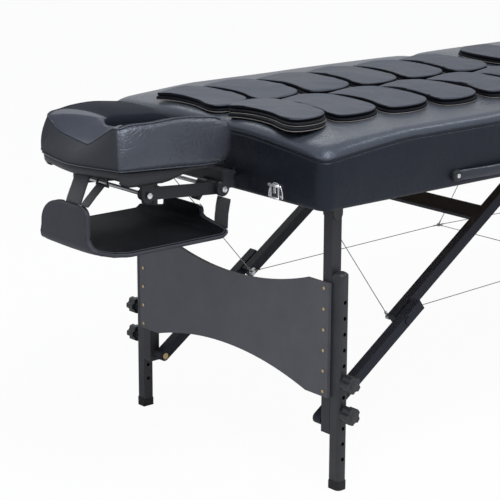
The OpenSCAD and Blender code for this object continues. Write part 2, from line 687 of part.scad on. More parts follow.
// Face cradle: posts and bar, link arms, pins, cam lever, platform and cushion
post_z = under_h + rail_h * 0.53;
post_in = 44; // length inside the end of the top
bar_t = 20;
bar_h = 24;
bar_out = 35; // middle of the cradle bar beyond the end of the top
bar_x = -end_x - bar_out;
hub_r = 15;
ear_t = 8;
ear_y = 108;
link_a_out = 52; // rear pivots of the link arms beyond the end of the top
link_a_down = 22; // and below the posts
link_b_out = 238; // front pivots
link_b_down = 8;
link_a = [-end_x - link_a_out, post_z - link_a_down];
link_b = [-end_x - link_b_out, post_z - link_b_down];
link_t = 8;
link_y = 96;
link_h = 24;
link_pin_r = 4;
module cradle_base() {
    color([0.18, 0.18, 0.19]) head_half() difference() {
        union() {
            both_sides() {
                translate([bar_x, post_y, post_z]) rotate([0, 90, 0])
                    cylinder(h = -bar_x - end_x + post_in, r = post_d / 2);
                along_y(link_a[0], link_a[1], ear_y, ear_y + ear_t, hub_r);
                translate([link_a[0], ear_y, link_a[1]])
                    cube([bar_x + bar_t / 2 - link_a[0], ear_t, post_z + bar_h / 2 - link_a[1]]);
            }
            translate([bar_x - bar_t / 2, -ear_y - ear_t, post_z - bar_h / 2])
                cube([bar_t, 2 * (ear_y + ear_t), bar_h]);
        }
        along_y(link_a[0], link_a[1], -ear_y - 2 * ear_t, ear_y + 2 * ear_t, link_pin_r + run_gap);
        both_sides() along_y(link_a[0], link_a[1], link_y - slide_gap, ear_y - slide_gap, hub_r + slide_gap);
    }
}
module cradle_link_arms() {
    d = link_b - link_a;
    color([0.16, 0.16, 0.17]) head_half() translate([link_a[0], 0, link_a[1]])
        rotate([0, -atan2(d[1], d[0]), 0]) difference() {
            union() {
                both_sides() {
                    translate([0, link_y, -link_h / 2]) cube([norm(d), link_t, link_h]);
                    for (x = [0, norm(d)]) along_y(x, 0, link_y, link_y + link_t, link_h / 2);
                }
                translate([norm(d) * 0.62, -link_y - over, -link_t / 2])
                    cube([link_h, 2 * (link_y + over), link_t]);
            }
            for (x = [0, norm(d)]) along_y(x, 0, -ear_y, ear_y, link_pin_r);
        }
}
module cradle_pins() {
    color("silver") head_half() for (p = [link_a, link_b])
        along_y(p[0], p[1], -ear_y - ear_t - 3 * over, ear_y + ear_t + 3 * over, link_pin_r);
}
lever_l = 36;
lever_w = 26;
lever_y = 55;
lever_turn = 132; // hangs down and outward
lever_t = 6.4;
module cradle_cam_lever() {
    color([0.1, 0.1, 0.1]) head_half() difference() {
        union() {
            along_y(link_a[0], link_a[1], -lever_y - lever_w / 2, -lever_y + lever_w / 2, hub_r * 0.8);
            translate([link_a[0], -lever_y - lever_w / 2 + over, link_a[1]]) rotate([0, lever_turn, 0])
                translate([hub_r * 0.5, 0, -lever_t / 2])
                    cube([lever_l - hub_r * 0.5, lever_w - 2 * over, lever_t]);
        }
        along_y(link_a[0], link_a[1], -2 * lever_y, over, link_pin_r + run_gap);
    }
}

cradle_z = under_h + cradle_up;

// The platform and the cushion share one horseshoe outline, open towards the table
horse_half = (cradle_w - face_gap) / 4; // half the width of an arm of the cushion
horse_y = face_gap / 2 + horse_half;
horse_front = -end_x - cradle_reach + horse_half;
horse_mid = horse_front + horse_y;
horse_back = -end_x - cradle_gap;
horse_pivot = [(horse_front + horse_back) / 2, cradle_z];
module tilted() {
    translate([horse_pivot[0], 0, horse_pivot[1]]) rotate([0, cradle_tilt, 0])
        translate([-horse_pivot[0], 0, -horse_pivot[1]]) children();
}
platform_t = 9;
platform_in = 12;
platform_gap = seat; // between the platform and the cushion
module horseshoe(half_w) {
    difference() {
        union() {
            intersection() {
                translate([horse_mid, 0]) circle(horse_y + half_w);
                translate([horse_mid - 2 * horse_y, -2 * horse_y]) square([2 * horse_y, 4 * horse_y]);
            }
            translate([horse_mid, -horse_y - half_w])
                square([horse_back - platform_in - horse_mid, 2 * (horse_y + half_w)]);
        }
        translate([horse_mid, 0]) circle(horse_y - half_w);
        translate([horse_mid, -horse_y + half_w])
            square([horse_back - horse_mid + over, 2 * (horse_y - half_w)]);
    }
}
module cradle_platform() {
    ear_top = cradle_z - platform_gap - platform_t / 2;
    color([0.12, 0.12, 0.12]) head_half() difference() {
        union() {
            tilted() translate([0, 0, cradle_z - platform_gap - platform_t])
                linear_extrude(platform_t) horseshoe(horse_half - platform_in);
            both_sides() {
                along_y(link_b[0], link_b[1], ear_y, ear_y + ear_t, hub_r);
                translate([link_b[0] - hub_r, ear_y, link_b[1]])
                    cube([2 * hub_r, ear_t, ear_top - link_b[1]]);
            }
        }
        along_y(link_b[0], link_b[1], -ear_y - 2 * ear_t, ear_y + 2 * ear_t, link_pin_r + run_gap);
    }
}
horse_steps = 14; // rings round the front
square_share = 0.72; // how squarely the front turns, where 1 is a half circle
function spow(v, e) = sign(v) * pow(abs(v), e);
horse_path = concat(
    [for (i = [0:2]) [horse_back + (horse_mid - horse_back) * i / 3, -horse_y]],
    [for (i = [0:horse_steps]) let (a = 180 * i / horse_steps)
        [horse_mid - (horse_mid - horse_front) * spow(sin(a), square_share),
            -horse_y * spow(cos(a), square_share)]],
    [for (i = [2:-1:0]) [horse_back + (horse_mid - horse_back) * i / 3, horse_y]]
);
section_steps = 16;
function path_dir(i) = let (a = horse_path[max(i - 1, 0)], b = horse_path[min(i + 1, len(horse_path) - 1)])
    (b - a) / norm(b - a);
dip_share = 0.34; // how much lower the cushion is at the middle of the front
function horse_ring(i) = let (
    p = horse_path[i], d = path_dir(i), n = [-d[1], d[0]],
    end = (i == 0 || i == len(horse_path) - 1) ? 0.9 : 1,
    dip = p[0] < horse_mid ? exp(-pow(p[1] / (horse_y * 0.62), 2)) * dip_share : 0
) [for (k = [0:section_steps - 1]) let (
    a = 360 * k / section_steps,
    u = spow(cos(a), 0.5) * horse_half * end,
    v = (0.5 + 0.5 * spow(sin(a), 0.55)) * cradle_t * (1 - dip) * (0.5 + end / 2)
) [p[0] + n[0] * u, p[1] + n[1] * u, cradle_z + v]];
module cradle_cushion() {
    rings = [for (i = [0:len(horse_path) - 1]) horse_ring(i)];
    n = section_steps;
    last = (len(rings) - 1) * n;
    pts = [for (r = rings) each r];
    color([0.17, 0.17, 0.19]) head_half() tilted() polyhedron(points = pts, faces = concat(
        [[for (k = [n - 1:-1:0]) k]],
        [for (i = [0:len(rings) - 2], k = [0:n - 1]) let (m = (k + 1) % n)
            each [[i * n + k, i * n + m, (i + 1) * n + m], [i * n + k, (i + 1) * n + m, (i + 1) * n + k]]],
        [[for (k = [0:n - 1]) last + k]]
    ));
}

// Arm sling: a padded tray with a flap at its front and its back, on straps with a buckle
sling_z = under_h - sling_drop;
front_curl = 40;
back_curl = 26;
flap_h = 91;
flap_z = sling_z + flap_h;
back_flap_h = 51;
front_flap_y = 78; // half the width of the front flap
front_flare = 50; // how much wider the front flap is at its foot
flare_h = 30;
back_flap_y = 62;
flap_round = 44;
module sling_curl(r) {
    intersection() {
        difference() {
            translate([r, r]) circle(r);
            translate([r, r]) circle(r - sling_t);
        }
        square(r);
    }
}
module sling_profile() {
    translate([front_curl, 0]) square([sling_l - front_curl - back_curl, sling_t]);
    sling_curl(front_curl);
    translate([0, front_curl]) square([sling_t, flap_h - front_curl]);
    translate([sling_l, 0]) mirror([1, 0]) {
        sling_curl(back_curl);
        translate([0, back_curl]) square([sling_t, back_flap_h - back_curl]);
    }
}
module front_flap() {
    polygon([[-front_flap_y - front_flare, -over], [-front_flap_y, flare_h],
        [front_flap_y, flare_h], [front_flap_y + front_flare, -over]]);
    translate([-front_flap_y, 0]) square([2 * front_flap_y, flap_h - flap_round]);
    translate([-front_flap_y, 0]) square([2 * front_flap_y - flap_round, flap_h]);
    translate([front_flap_y - flap_round, flap_h - flap_round]) circle(flap_round);
}
module arm_sling() {
    color([0.15, 0.15, 0.17]) head_half() translate([-sling_front, 0, sling_z]) intersection() {
        translate([0, sling_w / 2, 0]) rotate([90, 0, 0]) linear_extrude(sling_w) sling_profile();
        union() {
            translate([front_curl * 0.6, -sling_w, -over]) cube([sling_l, 2 * sling_w, back_curl + over]);
            translate([-over, 0, 0]) rotate([90, 0, 90]) linear_extrude(front_curl) front_flap();
            translate([front_curl, -back_flap_y, 0]) cube([sling_l, 2 * back_flap_y, back_flap_h]);
        }
    }
}
strap_t = 3;
rear_strap_w = 32;
rear_strap_y = 122;
front_strap_w = 50;
front_strap_y = 16;
corner_strap_w = 20;
corner_strap_y = 64;
// a flat strap in a plane across the table, from one point to another
module strap(p, q, y, w) {
    d = q - p;
    translate([p[0], y - w / 2, p[1]]) rotate([0, -atan2(d[1], d[0]), 0])
        translate([0, 0, -strap_t / 2]) cube([norm(d), w, strap_t]);
}
function under_platform(x) = cradle_z - platform_t - platform_gap
    + (horse_pivot[0] - x) * tan(cradle_tilt);
front_high_x = horse_front - horse_half + platform_in * 2.4;
// the foot of a strap to q, resting on the front flap
function strap_foot(q) = let (x = -sling_front + sling_t / 2, a = atan2(q[1] - flap_z, q[0] - x))
    [x, flap_z + seat + strap_t / 2 * cos(a)];
front_high = [front_high_x, under_platform(front_high_x) - strap_t / 2 - seat];
rear_low = [-sling_front + sling_l - sling_t / 2, sling_z + back_curl + seat];
rear_high = [link_a[0] - hub_r * 0.2, link_a[1] - hub_r - seat];
module sling_straps() {
    color([0.2, 0.2, 0.21]) head_half() both_sides() strap(rear_low, rear_high, -rear_strap_y, rear_strap_w);
}
buckle_x = front_high_x + platform_in * 0.4;
buckle_h = 38;
buckle_w = 42;
buckle_top_w = 14;
buckle_bar = 5;
corner_high = [buckle_x - strap_t * 1.7, under_platform(buckle_x) - buckle_h + buckle_bar];
module front_straps() {
    color([0.2, 0.2, 0.21]) head_half() {
        strap(strap_foot(front_high), front_high, -front_strap_y, front_strap_w);
        strap(strap_foot(corner_high), corner_high, -corner_strap_y, corner_strap_w);
    }
}
module sling_buckle() {
    color("black") head_half() tilted()
        translate([buckle_x - strap_t / 2, -corner_strap_y, cradle_z - platform_gap - platform_t - seat])
            rotate([90, 0, 90]) linear_extrude(strap_t) difference() {
                polygon([[-buckle_top_w / 2, 0], [-buckle_w / 2, -buckle_h], [buckle_w / 2, -buckle_h],
                    [buckle_top_w / 2, 0]]);
                polygon([[0, -2 * buckle_bar], [-buckle_w / 2 + buckle_bar, buckle_bar - buckle_h],
                    [buckle_w / 2 - buckle_bar, buckle_bar - buckle_h]]);
            }
}

head_frame_rails();
head_board();
head_side_band();
head_top_cushion();
head_leaf_pads();
head_brackets();
head_handle();
latch_bases();
head_fold_hinges();
latch_lever_near();
latch_lever_far();
head_upper_legs();
head_end_panel();
head_leg_screws();
head_lower_leg_near();
head_lower_leg_far();
head_knob_near_upper();
head_knob_near_lower();
head_knob_far_upper();
head_knob_far_lower();
head_lower_arms();
head_upper_arms();
head_crossbar();
head_knee_fittings();
head_stay_cables();
foot_frame_rails();
foot_board();
foot_side_band();
foot_top_cushion();
foot_leaf_pads();
foot_brackets();
foot_handle();
latch_keepers();
foot_fold_hinges();
foot_upper_legs();
foot_end_panel();
foot_leg_screws();
foot_lower_leg_near();
foot_lower_leg_far();
foot_knob_near_upper();
foot_knob_near_lower();
foot_knob_far_upper();
foot_knob_far_lower();
foot_lower_arms();
foot_upper_arms();
foot_crossbar();
foot_knee_fittings();
foot_stay_cables();
centre_cables();
cradle_base();
cradle_link_arms();
cradle_pins();
cradle_cam_lever();
cradle_platform();
cradle_cushion();
arm_sling();
sling_straps();
front_straps();
sling_buckle();
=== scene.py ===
"""A folding massage table: leather-covered top in two halves, folding telescoping legs, stayed knee braces,
a face cradle and a hanging arm sling."""
import json
import math
import random

import bmesh
import bpy
from mathutils import Matrix, Vector, noise


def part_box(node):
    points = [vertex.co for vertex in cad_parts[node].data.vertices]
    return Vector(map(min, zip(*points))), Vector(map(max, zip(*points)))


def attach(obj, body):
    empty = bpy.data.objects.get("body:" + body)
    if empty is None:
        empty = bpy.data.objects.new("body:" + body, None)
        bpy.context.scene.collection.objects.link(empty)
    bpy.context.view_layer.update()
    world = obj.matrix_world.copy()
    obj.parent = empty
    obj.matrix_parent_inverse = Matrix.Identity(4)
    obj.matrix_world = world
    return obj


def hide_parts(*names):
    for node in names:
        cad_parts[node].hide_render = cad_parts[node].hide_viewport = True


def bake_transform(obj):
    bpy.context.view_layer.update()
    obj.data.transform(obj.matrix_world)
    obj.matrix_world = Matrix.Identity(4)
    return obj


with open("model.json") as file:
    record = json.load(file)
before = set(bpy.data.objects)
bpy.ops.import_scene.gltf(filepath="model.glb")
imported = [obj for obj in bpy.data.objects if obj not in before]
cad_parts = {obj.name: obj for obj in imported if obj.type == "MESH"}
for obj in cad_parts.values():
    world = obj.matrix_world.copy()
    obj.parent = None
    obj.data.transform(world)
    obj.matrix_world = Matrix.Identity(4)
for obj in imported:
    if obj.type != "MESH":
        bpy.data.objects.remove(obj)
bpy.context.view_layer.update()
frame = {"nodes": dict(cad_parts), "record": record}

# The camera
# It stands off the near corner of the head end, a little above the top, and looks along the table.
# Its place is counted from the fold, on the floor under the middle of the table.
fold_x = next(j["pos_m"][0] for j in frame["record"]["behaviour"]["joints"] if j["name"] == "centre_fold")
camera_from_fold = Vector((-3.146, -2.783, 1.394))
camera_yaw, camera_pitch, camera_roll = (math.radians(a) for a in (40.125, 14.873, 0.208))
camera_view_angle = math.radians(16.043)

bpy.ops.object.select_all(action="DESELECT")
bpy.ops.object.camera_add(location=camera_from_fold + Vector((fold_x, 0, 0)))
camera = bpy.context.object
ahead = Vector((math.sin(camera_yaw), math.cos(camera_yaw), -math.tan(camera_pitch))).normalized()
level = Vector((math.cos(camera_yaw), -math.sin(camera_yaw), 0))
upright = level.cross(ahead)
right = level * math.cos(camera_roll) + upright * math.sin(camera_roll)
above = upright * math.cos(camera_roll) - level * math.sin(camera_roll)
camera.rotation_euler = Matrix((right, above, -ahead)).transposed().to_euler()
camera.data.sensor_fit = "HORIZONTAL"
camera.data.angle = camera_view_angle
camera.data.clip_end = 60
bpy.context.scene.camera = camera


# Wooden frame and deck boards
# Each half is a box of solid rails with cross rails, butted and screwed, under a thin plywood board.
# The wood is clear-varnished, with its grain along the rails.
def feed(tree, socket, value):
    """Gives a socket a value, or links another node's output to it."""
    if isinstance(value, bpy.types.NodeSocket):
        tree.links.new(value, socket)
    else:
        socket.default_value = value


def put(tree, kind, sockets=None, **settings):
    """Adds a shader node with its settings and what its sockets are fed."""
    made = tree.nodes.new(kind)
    for key, value in settings.items():
        setattr(made, key, value)
    for socket, value in (sockets or {}).items():
        feed(tree, made.inputs[socket], value)
    return made


def new_material(name):
    """An empty material, its node tree, its shader and the place on the piece that patterns read."""
    made = bpy.data.materials.new(name)
    made.use_nodes = True
    tree = made.node_tree
    shader = next(n for n in tree.nodes if n.type == "BSDF_PRINCIPLED")
    return made, tree, shader, put(tree, "ShaderNodeTexCoord").outputs["Object"]


def new_group(name, inputs, outputs):
    """An empty shader node group. Its Place is a vector, and its other sockets are numbers."""
    group = bpy.data.node_groups.new(name, "ShaderNodeTree")
    for words, way in ((("Place",) + inputs, "INPUT"), (outputs, "OUTPUT")):
        for word in words:
            kind = "NodeSocketVector" if word == "Place" else "NodeSocketFloat"
            group.interface.new_socket(word, in_out=way, socket_type=kind)
    return group, group.nodes.new("NodeGroupInput").outputs, group.nodes.new("NodeGroupOutput").inputs


def shade(tree, shader, **sockets):
    """Sets or links the finish's own sockets, named with underscores for spaces."""
    for key, value in sockets.items():
        feed(tree, shader.inputs[key.replace("_", " ")], value)


def blend_colors(tree, share, first, second):
    return put(tree, "ShaderNodeMix", {0: share, 6: first, 7: second}, data_type="RGBA").outputs[2]


def maths(tree, operation, first, second=0.0):
    return put(tree, "ShaderNodeMath", {0: first, 1: second}, operation=operation).outputs[0]


def ramp(tree, value, low, high, start=0.0, end=1.0):
    """A value that goes from start at low to end at high."""
    return put(tree, "ShaderNodeMapRange", {
        "Value": value, "From Min": low, "From Max": high, "To Min": start, "To Max": end}).outputs[0]


def clouds(tree, place, scale, detail, **more):
    """Cloudy noise over the surface, mostly between 0.3 and 0.7."""
    return put(tree, "ShaderNodeTexNoise", {"Vector": place, "Scale": scale, "Detail": detail, **more}).outputs["Fac"]


def relief(tree, height, depth, strength=1.0):
    """The normal of a bumpy surface whose heights of 1 stand this many metres proud."""
    return put(tree, "ShaderNodeBump", {"Height": height, "Strength": strength, "Distance": depth}).outputs[0]


wood_grain, given, result = new_group("wood_grain", ("Ring scale",), ("Figure", "Streaks"))
stretched = put(wood_grain, "ShaderNodeMapping", {"Vector": given["Place"], "Scale": (1.4, 9.0, 9.0)}).outputs[0]
streaks = clouds(wood_grain, stretched, 14.0, 6.0)
rings = put(wood_grain, "ShaderNodeTexWave", {
    "Vector": stretched, "Scale": given["Ring scale"], "Distortion": 6.0, "Detail": 3.0, "Detail Scale": 1.6,
}, bands_direction="Y").outputs["Fac"]
feed(wood_grain, result["Figure"], maths(wood_grain, "MULTIPLY", rings, streaks))
feed(wood_grain, result["Streaks"], streaks)


def wood(name, pale, dark, ring_width):
    """Clear-varnished wood, its grain along the table."""
    made, tree, shader, place = new_material(name)
    grain = put(tree, "ShaderNodeGroup", {"Place": place, "Ring scale": 1 / (ring_width * 60)},
                node_tree=wood_grain).outputs
    shade(tree, shader, Base_Color=blend_colors(tree, grain["Figure"], pale, dark),
          Roughness=ramp(tree, grain["Figure"], -0.9, 1.4),
          Normal=relief(tree, grain["Streaks"], 0.0006, strength=0.25), Coat_Weight=0.3, Coat_Roughness=0.25)
    return made


def dress(material, *nodes):
    """Gives carried-over nodes their finish."""
    for name in nodes:
        slots = frame["nodes"][name].data.materials
        slots.clear()
        slots.append(material)


rail_wood = wood("varnished_rails", (0.52, 0.36, 0.2, 1), (0.3, 0.17, 0.08, 1), 0.012)
board_wood = wood("plywood", (0.58, 0.43, 0.26, 1), (0.38, 0.25, 0.13, 1), 0.03)
dress(rail_wood, "head_frame_rails", "foot_frame_rails")
dress(board_wood, "head_board", "foot_board")


# Leather top panels
# The foam of each half is covered by a panel of soft black artificial leather, pulled down over the edge to
# a seam. The seam drops towards the corners, where the cover is drawn in tightest.
half_length, half_width, corner_radius = 0.4575, 0.3555, 0.024
mid_x, end_x, fold_face = fold_x - 0.4585, fold_x - 0.916, fold_x - 0.001
under_z, seam_z, crown_h = 0.594, 0.715, 0.020
edge_roll = 0.021
end_drop, fold_drop, drop_reach = 0.021, 0.003, 0.23

hide, given, result = new_group("leather_surface", ("Grain", "Creases", "Waves"), ("Height", "Cloud"))
pebbles = put(hide, "ShaderNodeTexVoronoi", {"Vector": given["Place"], "Scale": 780.0},
              feature="DISTANCE_TO_EDGE").outputs["Distance"]
pebble_height = maths(hide, "MULTIPLY", ramp(hide, pebbles, 0.0, 0.35), given["Grain"])
crumple = clouds(hide, given["Place"], 34.0, 4.0, Distortion=1.1)
ridges = maths(hide, "ABSOLUTE", maths(hide, "SUBTRACT", crumple, 0.5))
crease_mask = maths(hide, "SUBTRACT", 1.0, ramp(hide, ridges, 0.0, 0.07))
crease_depth = maths(hide, "MULTIPLY", crease_mask, given["Creases"])
swell = maths(hide, "MULTIPLY", clouds(hide, given["Place"], 9.0, 2.0), given["Waves"])
feed(hide, result["Height"], maths(hide, "ADD", maths(hide, "SUBTRACT", pebble_height, crease_depth), swell))
feed(hide, result["Cloud"], clouds(hide, given["Place"], 5.0, 5.0))


def toned(tone, share):
    """The colour at this share of its brightness."""
    return tuple(min(1, share * c) for c in tone[:3]) + (1,)


def leather(name, tone, roughness, grain=0.00005, creases=0.00025, waves=0.003, gloss=0.35):
    """Black artificial leather: pebbled grain, fine creases, slow waves and patches a little duller."""
    made, tree, shader, place = new_material(name)
    skin = put(tree, "ShaderNodeGroup", {"Place": place, "Grain": grain, "Creases": creases, "Waves": waves},
               node_tree=hide).outputs
    shade(tree, shader, Base_Color=blend_colors(tree, skin["Cloud"], toned(tone, 0.62), tone),
          Roughness=ramp(tree, skin["Cloud"], 0.3, 0.7, roughness - 0.05, roughness + 0.07),
          Normal=relief(tree, skin["Height"], 1.0), Specular_IOR_Level=gloss, Specular_Tint=(0.76, 0.85, 1, 1))
    return made


def corner_drop(x, y):
    """How far the seam lies lower, by its distance from the corner: much at the table's ends, little at the
    fold. x and y are from the half's middle."""
    away = math.hypot(half_length - abs(x), half_width - abs(y))
    return (end_drop if x < 0 else fold_drop) * max(0.0, 1 - away / drop_reach) ** 1.2


def edge_distance(x, y):
    """How far in from the half's rounded outline a place is, with the corner's diagonal smoothed."""
    along, across = half_length - abs(x), half_width - abs(y)
    if along < corner_radius and across < corner_radius:
        plain = corner_radius - math.hypot(corner_radius - along, corner_radius - across)
    else:
        plain = min(along, across)
    soft = 0.015
    blended = -soft * math.log(math.exp(-along / soft) + math.exp(-across / soft))
    return max(0.0, min(plain, blended))


def ripple(x, y, z, size, height):
    return height * noise.noise(Vector((x, y, z)) / size)


def solid_from(name, points, faces, material, smooth=True):
    """A mesh object with outward faces, from points in the row frame."""
    mesh = bpy.data.meshes.new(name)
    mesh.from_pydata([tuple(p) for p in points], [], faces)
    mesh.materials.append(material)
    made = bpy.data.objects.new(name, mesh)
    bpy.context.collection.objects.link(made)
    tidy(made)
    mesh.polygons.foreach_set("use_smooth", [smooth] * len(mesh.polygons))
    return made


def tidy(piece, doubles=0.00002):
    """Merges doubled points and turns all faces outward."""
    work = bmesh.new()
    work.from_mesh(piece.data)
    bmesh.ops.remove_doubles(work, verts=work.verts, dist=doubles)
    bmesh.ops.recalc_face_normals(work, faces=work.faces)
    work.to_mesh(piece.data)
    work.free()


def foot_copy(piece, name, *nodes, turned=False):
    """The foot half's copy of a piece, on its own body: mirrored about the fold, or turned half round."""
    mesh = piece.data.copy()
    for v in mesh.vertices:
        v.co.x = 2 * fold_x - v.co.x
        if turned:
            v.co.y = -v.co.y
    made = bpy.data.objects.new(name, mesh)
    bpy.context.collection.objects.link(made)
    if not turned:
        tidy(made)
    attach(made, "foot_top")
    if nodes:
        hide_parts(*nodes)
    return made


def panel_height(x, y):
    inward = edge_distance(x, y)
    roll = math.sqrt(max(0.0, 1 - (1 - min(inward / edge_roll, 1)) ** 2))
    rise = crown_h * (0.74 * roll + 0.26 * (1 - math.exp(-inward / 0.05)))
    low = corner_drop(x, y) * math.exp(-inward / 0.06)
    walk = x if half_width - abs(y) < half_length - abs(x) else y
    pucker = 0.0007 * math.exp(-inward / 0.018) * noise.noise(Vector((walk / 0.009, inward / 0.02, 3.1)))
    return seam_z - low + rise + (pucker + ripple(x, y, 0.4, 0.16, 0.0011)) * min(1, inward / 0.004)


columns, rows = 116, 92
panel_points = []
for i in range(columns + 1):
    for j in range(rows + 1):
        u, v = (1.32 * t - 0.32 * t ** 3 for t in (2 * i / columns - 1, 2 * j / rows - 1))
        x, y = u * half_length, v * half_width
        past_x, past_y = abs(x) - half_length + corner_radius, abs(y) - half_width + corner_radius
        if past_x > 0 and past_y > 0:
            a, b = past_x / corner_radius, past_y / corner_radius
            x = math.copysign(half_length - corner_radius + corner_radius * a * math.sqrt(1 - b * b / 2), x)
            y = math.copysign(half_width - corner_radius + corner_radius * b * math.sqrt(1 - a * a / 2), y)
        panel_points.append(Vector((mid_x + x, y, panel_height(x, y))))
span = rows + 1
panel_faces = [(i * span + j, (i + 1) * span + j, (i + 1) * span + j + 1, i * span + j + 1)
               for i in range(columns) for j in range(rows)]
# the panel's edge turns in under the seam, and a lining closes it
rim = ([i * span for i in range(columns + 1)] + [columns * span + j for j in range(1, span)]
       + [i * span + rows for i in range(columns - 1, -1, -1)] + list(range(rows - 1, 0, -1)))
last = rim
for inset, down in ((0.0015, 0.0022), (0.006, 0.004)):
    start = len(panel_points)
    for k in rim:
        p = panel_points[k]
        toward = Vector((mid_x - p.x, -p.y, 0)).normalized()
        panel_points.append(p + toward * inset - Vector((0, 0, down)))
    fresh = list(range(start, len(panel_points)))
    for k in range(len(rim)):
        n = (k + 1) % len(rim)
        panel_faces.append((last[k], last[n], fresh[n], fresh[k]))
    last = fresh
panel_faces.append(tuple(fresh))
# the top panel's leather is several times lighter than the side band's copy of it: painted light on the top
top_leather = leather("top_leather", (0.06, 0.069, 0.089, 1), 0.28, gloss=0.5)
head_cover = solid_from("head_top_panel", panel_points, panel_faces, top_leather)
foot_cover = foot_copy(head_cover, "foot_top_panel", "foot_top_cushion")
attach(head_cover, "head_top")
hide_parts("head_top_cushion")


# Leather side bands
# A band of the same leather, in a much darker copy that paints the shade on the sides, goes round each half
# over thin padding, sewn to the panel with one row of stitches, and its hem is turned under the rails. The end
# walls are cut for the cradle's posts.
def walk_round(step):
    """Points round the half's outline, with the outward direction and the length so far."""
    straight = (2 * (half_width - corner_radius), 2 * (half_length - corner_radius))
    corner = math.pi / 2 * corner_radius
    made, length = [], 0.0
    for q in range(4):
        centre = Vector(((half_length - corner_radius) * (1 if q in (0, 3) else -1),
                         (half_width - corner_radius) * (1 if q < 2 else -1), 0))
        turns = 10
        for k in range(turns):
            a = math.pi / 2 * (q + k / turns)
            made.append((centre + corner_radius * Vector((math.cos(a), math.sin(a), 0)),
                         Vector((math.cos(a), math.sin(a), 0)), length + corner * k / turns))
        length += corner
        run = straight[1] if q % 2 == 0 else straight[0]
        a = math.pi / 2 * (q + 1)
        out, along = Vector((math.cos(a), math.sin(a), 0)), Vector((-math.sin(a), math.cos(a), 0))
        start = centre + corner_radius * out
        pieces = max(2, round(run / step))
        for k in range(pieces):
            made.append((start + along * run * k / pieces, out, length + run * k / pieces))
        length += run
    return made


# distance below the seam and outward, down to the padded face; shares of the way from there to the hem; and
# the hem's heights and distances outward
seam_rows = [(-0.0002, -0.0016), (0.0003, 0.0004), (0.0016, 0.0013), (0.0038, 0.0015), (0.0058, 0.0008),
             (0.0068, -0.0010), (0.0078, 0.0004), (0.0102, 0.0014)]
band_rows = [0.05, 0.12, 0.2, 0.3, 0.4, 0.5, 0.6, 0.68, 0.76, 0.84, 0.9, 0.95, 0.985]
hem_z = 0.5952
hem_rows = [(0.5938, -0.0006), (0.5930, -0.003), (0.5926, -0.008), (0.5926, -0.018)]
post_y, post_z, post_hole = 0.09, under_z + 0.062 * 0.53, 0.0067


def band_point(p, out, z, proud):
    """A point of the band at a height. Nothing stands out where the two halves meet."""
    x = mid_x + p.x
    if proud > 0:
        proud *= min(1.0, max(0.0, (fold_face - x) / 0.03))
    return Vector((x, p.y, z)) + out * proud


band_points, band_faces = [], []
outline = walk_round(0.006)
for p, out, length in outline:
    seam = seam_z - corner_drop(p.x, p.y)
    column = [band_point(p, out, seam - down, proud) for down, proud in seam_rows]
    top_z = seam - seam_rows[-1][0]
    near_corner = max(0.0, 1 - math.hypot(half_length - abs(p.x), half_width - abs(p.y)) / 0.12)
    for t in band_rows:
        z = top_z + (hem_z - top_z) * t
        proud = 0.0012 + 0.0022 * math.sin(math.pi * min(1, t)) ** 0.8
        proud += ripple(length, z, 1.7, 0.07, 0.0007) + near_corner * ripple(length, z * 0.3, 5.2, 0.016, 0.0011)
        column.append(band_point(p, out, z, proud))
    column += [band_point(p, out, z, proud) for z, proud in hem_rows]
    band_points += column
tall = len(seam_rows) + len(band_rows) + len(hem_rows)
for k in range(len(outline)):
    n = (k + 1) % len(outline)
    band_faces += [(k * tall + r, n * tall + r, n * tall + r + 1, k * tall + r + 1) for r in range(tall - 1)]
# the band's leather is a much darker copy of the top panel's: painted shade on the sides
side_leather = leather("side_leather", (0.009, 0.011, 0.018, 1), 0.38, creases=0.0002, waves=0.004)


def apply_modifiers(piece):
    bpy.context.view_layer.objects.active = piece
    bpy.ops.object.select_all(action="DESELECT")
    piece.select_set(True)
    for modifier in list(piece.modifiers):
        bpy.ops.object.modifier_apply(modifier=modifier.name)


def cut_away(piece, cutter):
    """Cuts one closed piece out of another and drops it."""
    cut = piece.modifiers.new("cut", "BOOLEAN")
    cut.operation, cut.solver, cut.object = "DIFFERENCE", "EXACT", cutter
    apply_modifiers(piece)
    bpy.data.objects.remove(cutter)


head_band = solid_from("head_side_cover", band_points, band_faces, side_leather)
wall = head_band.modifiers.new("thickness", "SOLIDIFY")
wall.thickness, wall.offset, wall.use_rim = 0.0012, -1.0, True
apply_modifiers(head_band)
for side in (-post_y, post_y):
    bpy.ops.mesh.primitive_cylinder_add(vertices=28, radius=post_hole, depth=0.03, rotation=(0, math.pi / 2, 0),
                                        location=(end_x, side, post_z))
    cut_away(head_band, bpy.context.object)
foot_band = foot_copy(head_band, "foot_side_cover", "foot_side_band")
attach(head_band, "head_top")
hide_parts("head_side_band")


# Seam thread
# One row of dark waxed thread, in stitches 6 mm apart, holds the band to the panel below the seam. Each
# stitch lies in the pinch between the two leathers.
stitch_row, stitch_pitch, stitch_long, thread_thick = 0.0068, 0.006, 0.0044, 0.00045
thread_twist, given, result = new_group("thread_twist", (), ("Twist",))
feed(thread_twist, result["Twist"], put(
    thread_twist, "ShaderNodeTexWave", {"Vector": given["Place"], "Scale": 900.0, "Distortion": 1.0},
    bands_direction="DIAGONAL").outputs["Fac"])


def thread(name, tone):
    """Twisted thread, with painted shade between its strands."""
    made, tree, shader, place = new_material(name)
    twist = put(tree, "ShaderNodeGroup", {"Place": place}, node_tree=thread_twist).outputs["Twist"]
    # the twist darkens the colour where the strands part: painted shade
    shade(tree, shader, Base_Color=blend_colors(tree, twist, toned(tone, 0.4), tone), Roughness=0.6,
          Normal=relief(tree, twist, 0.0002, strength=0.5))
    return made


black_thread = thread("black_thread", (0.035, 0.036, 0.042, 1))


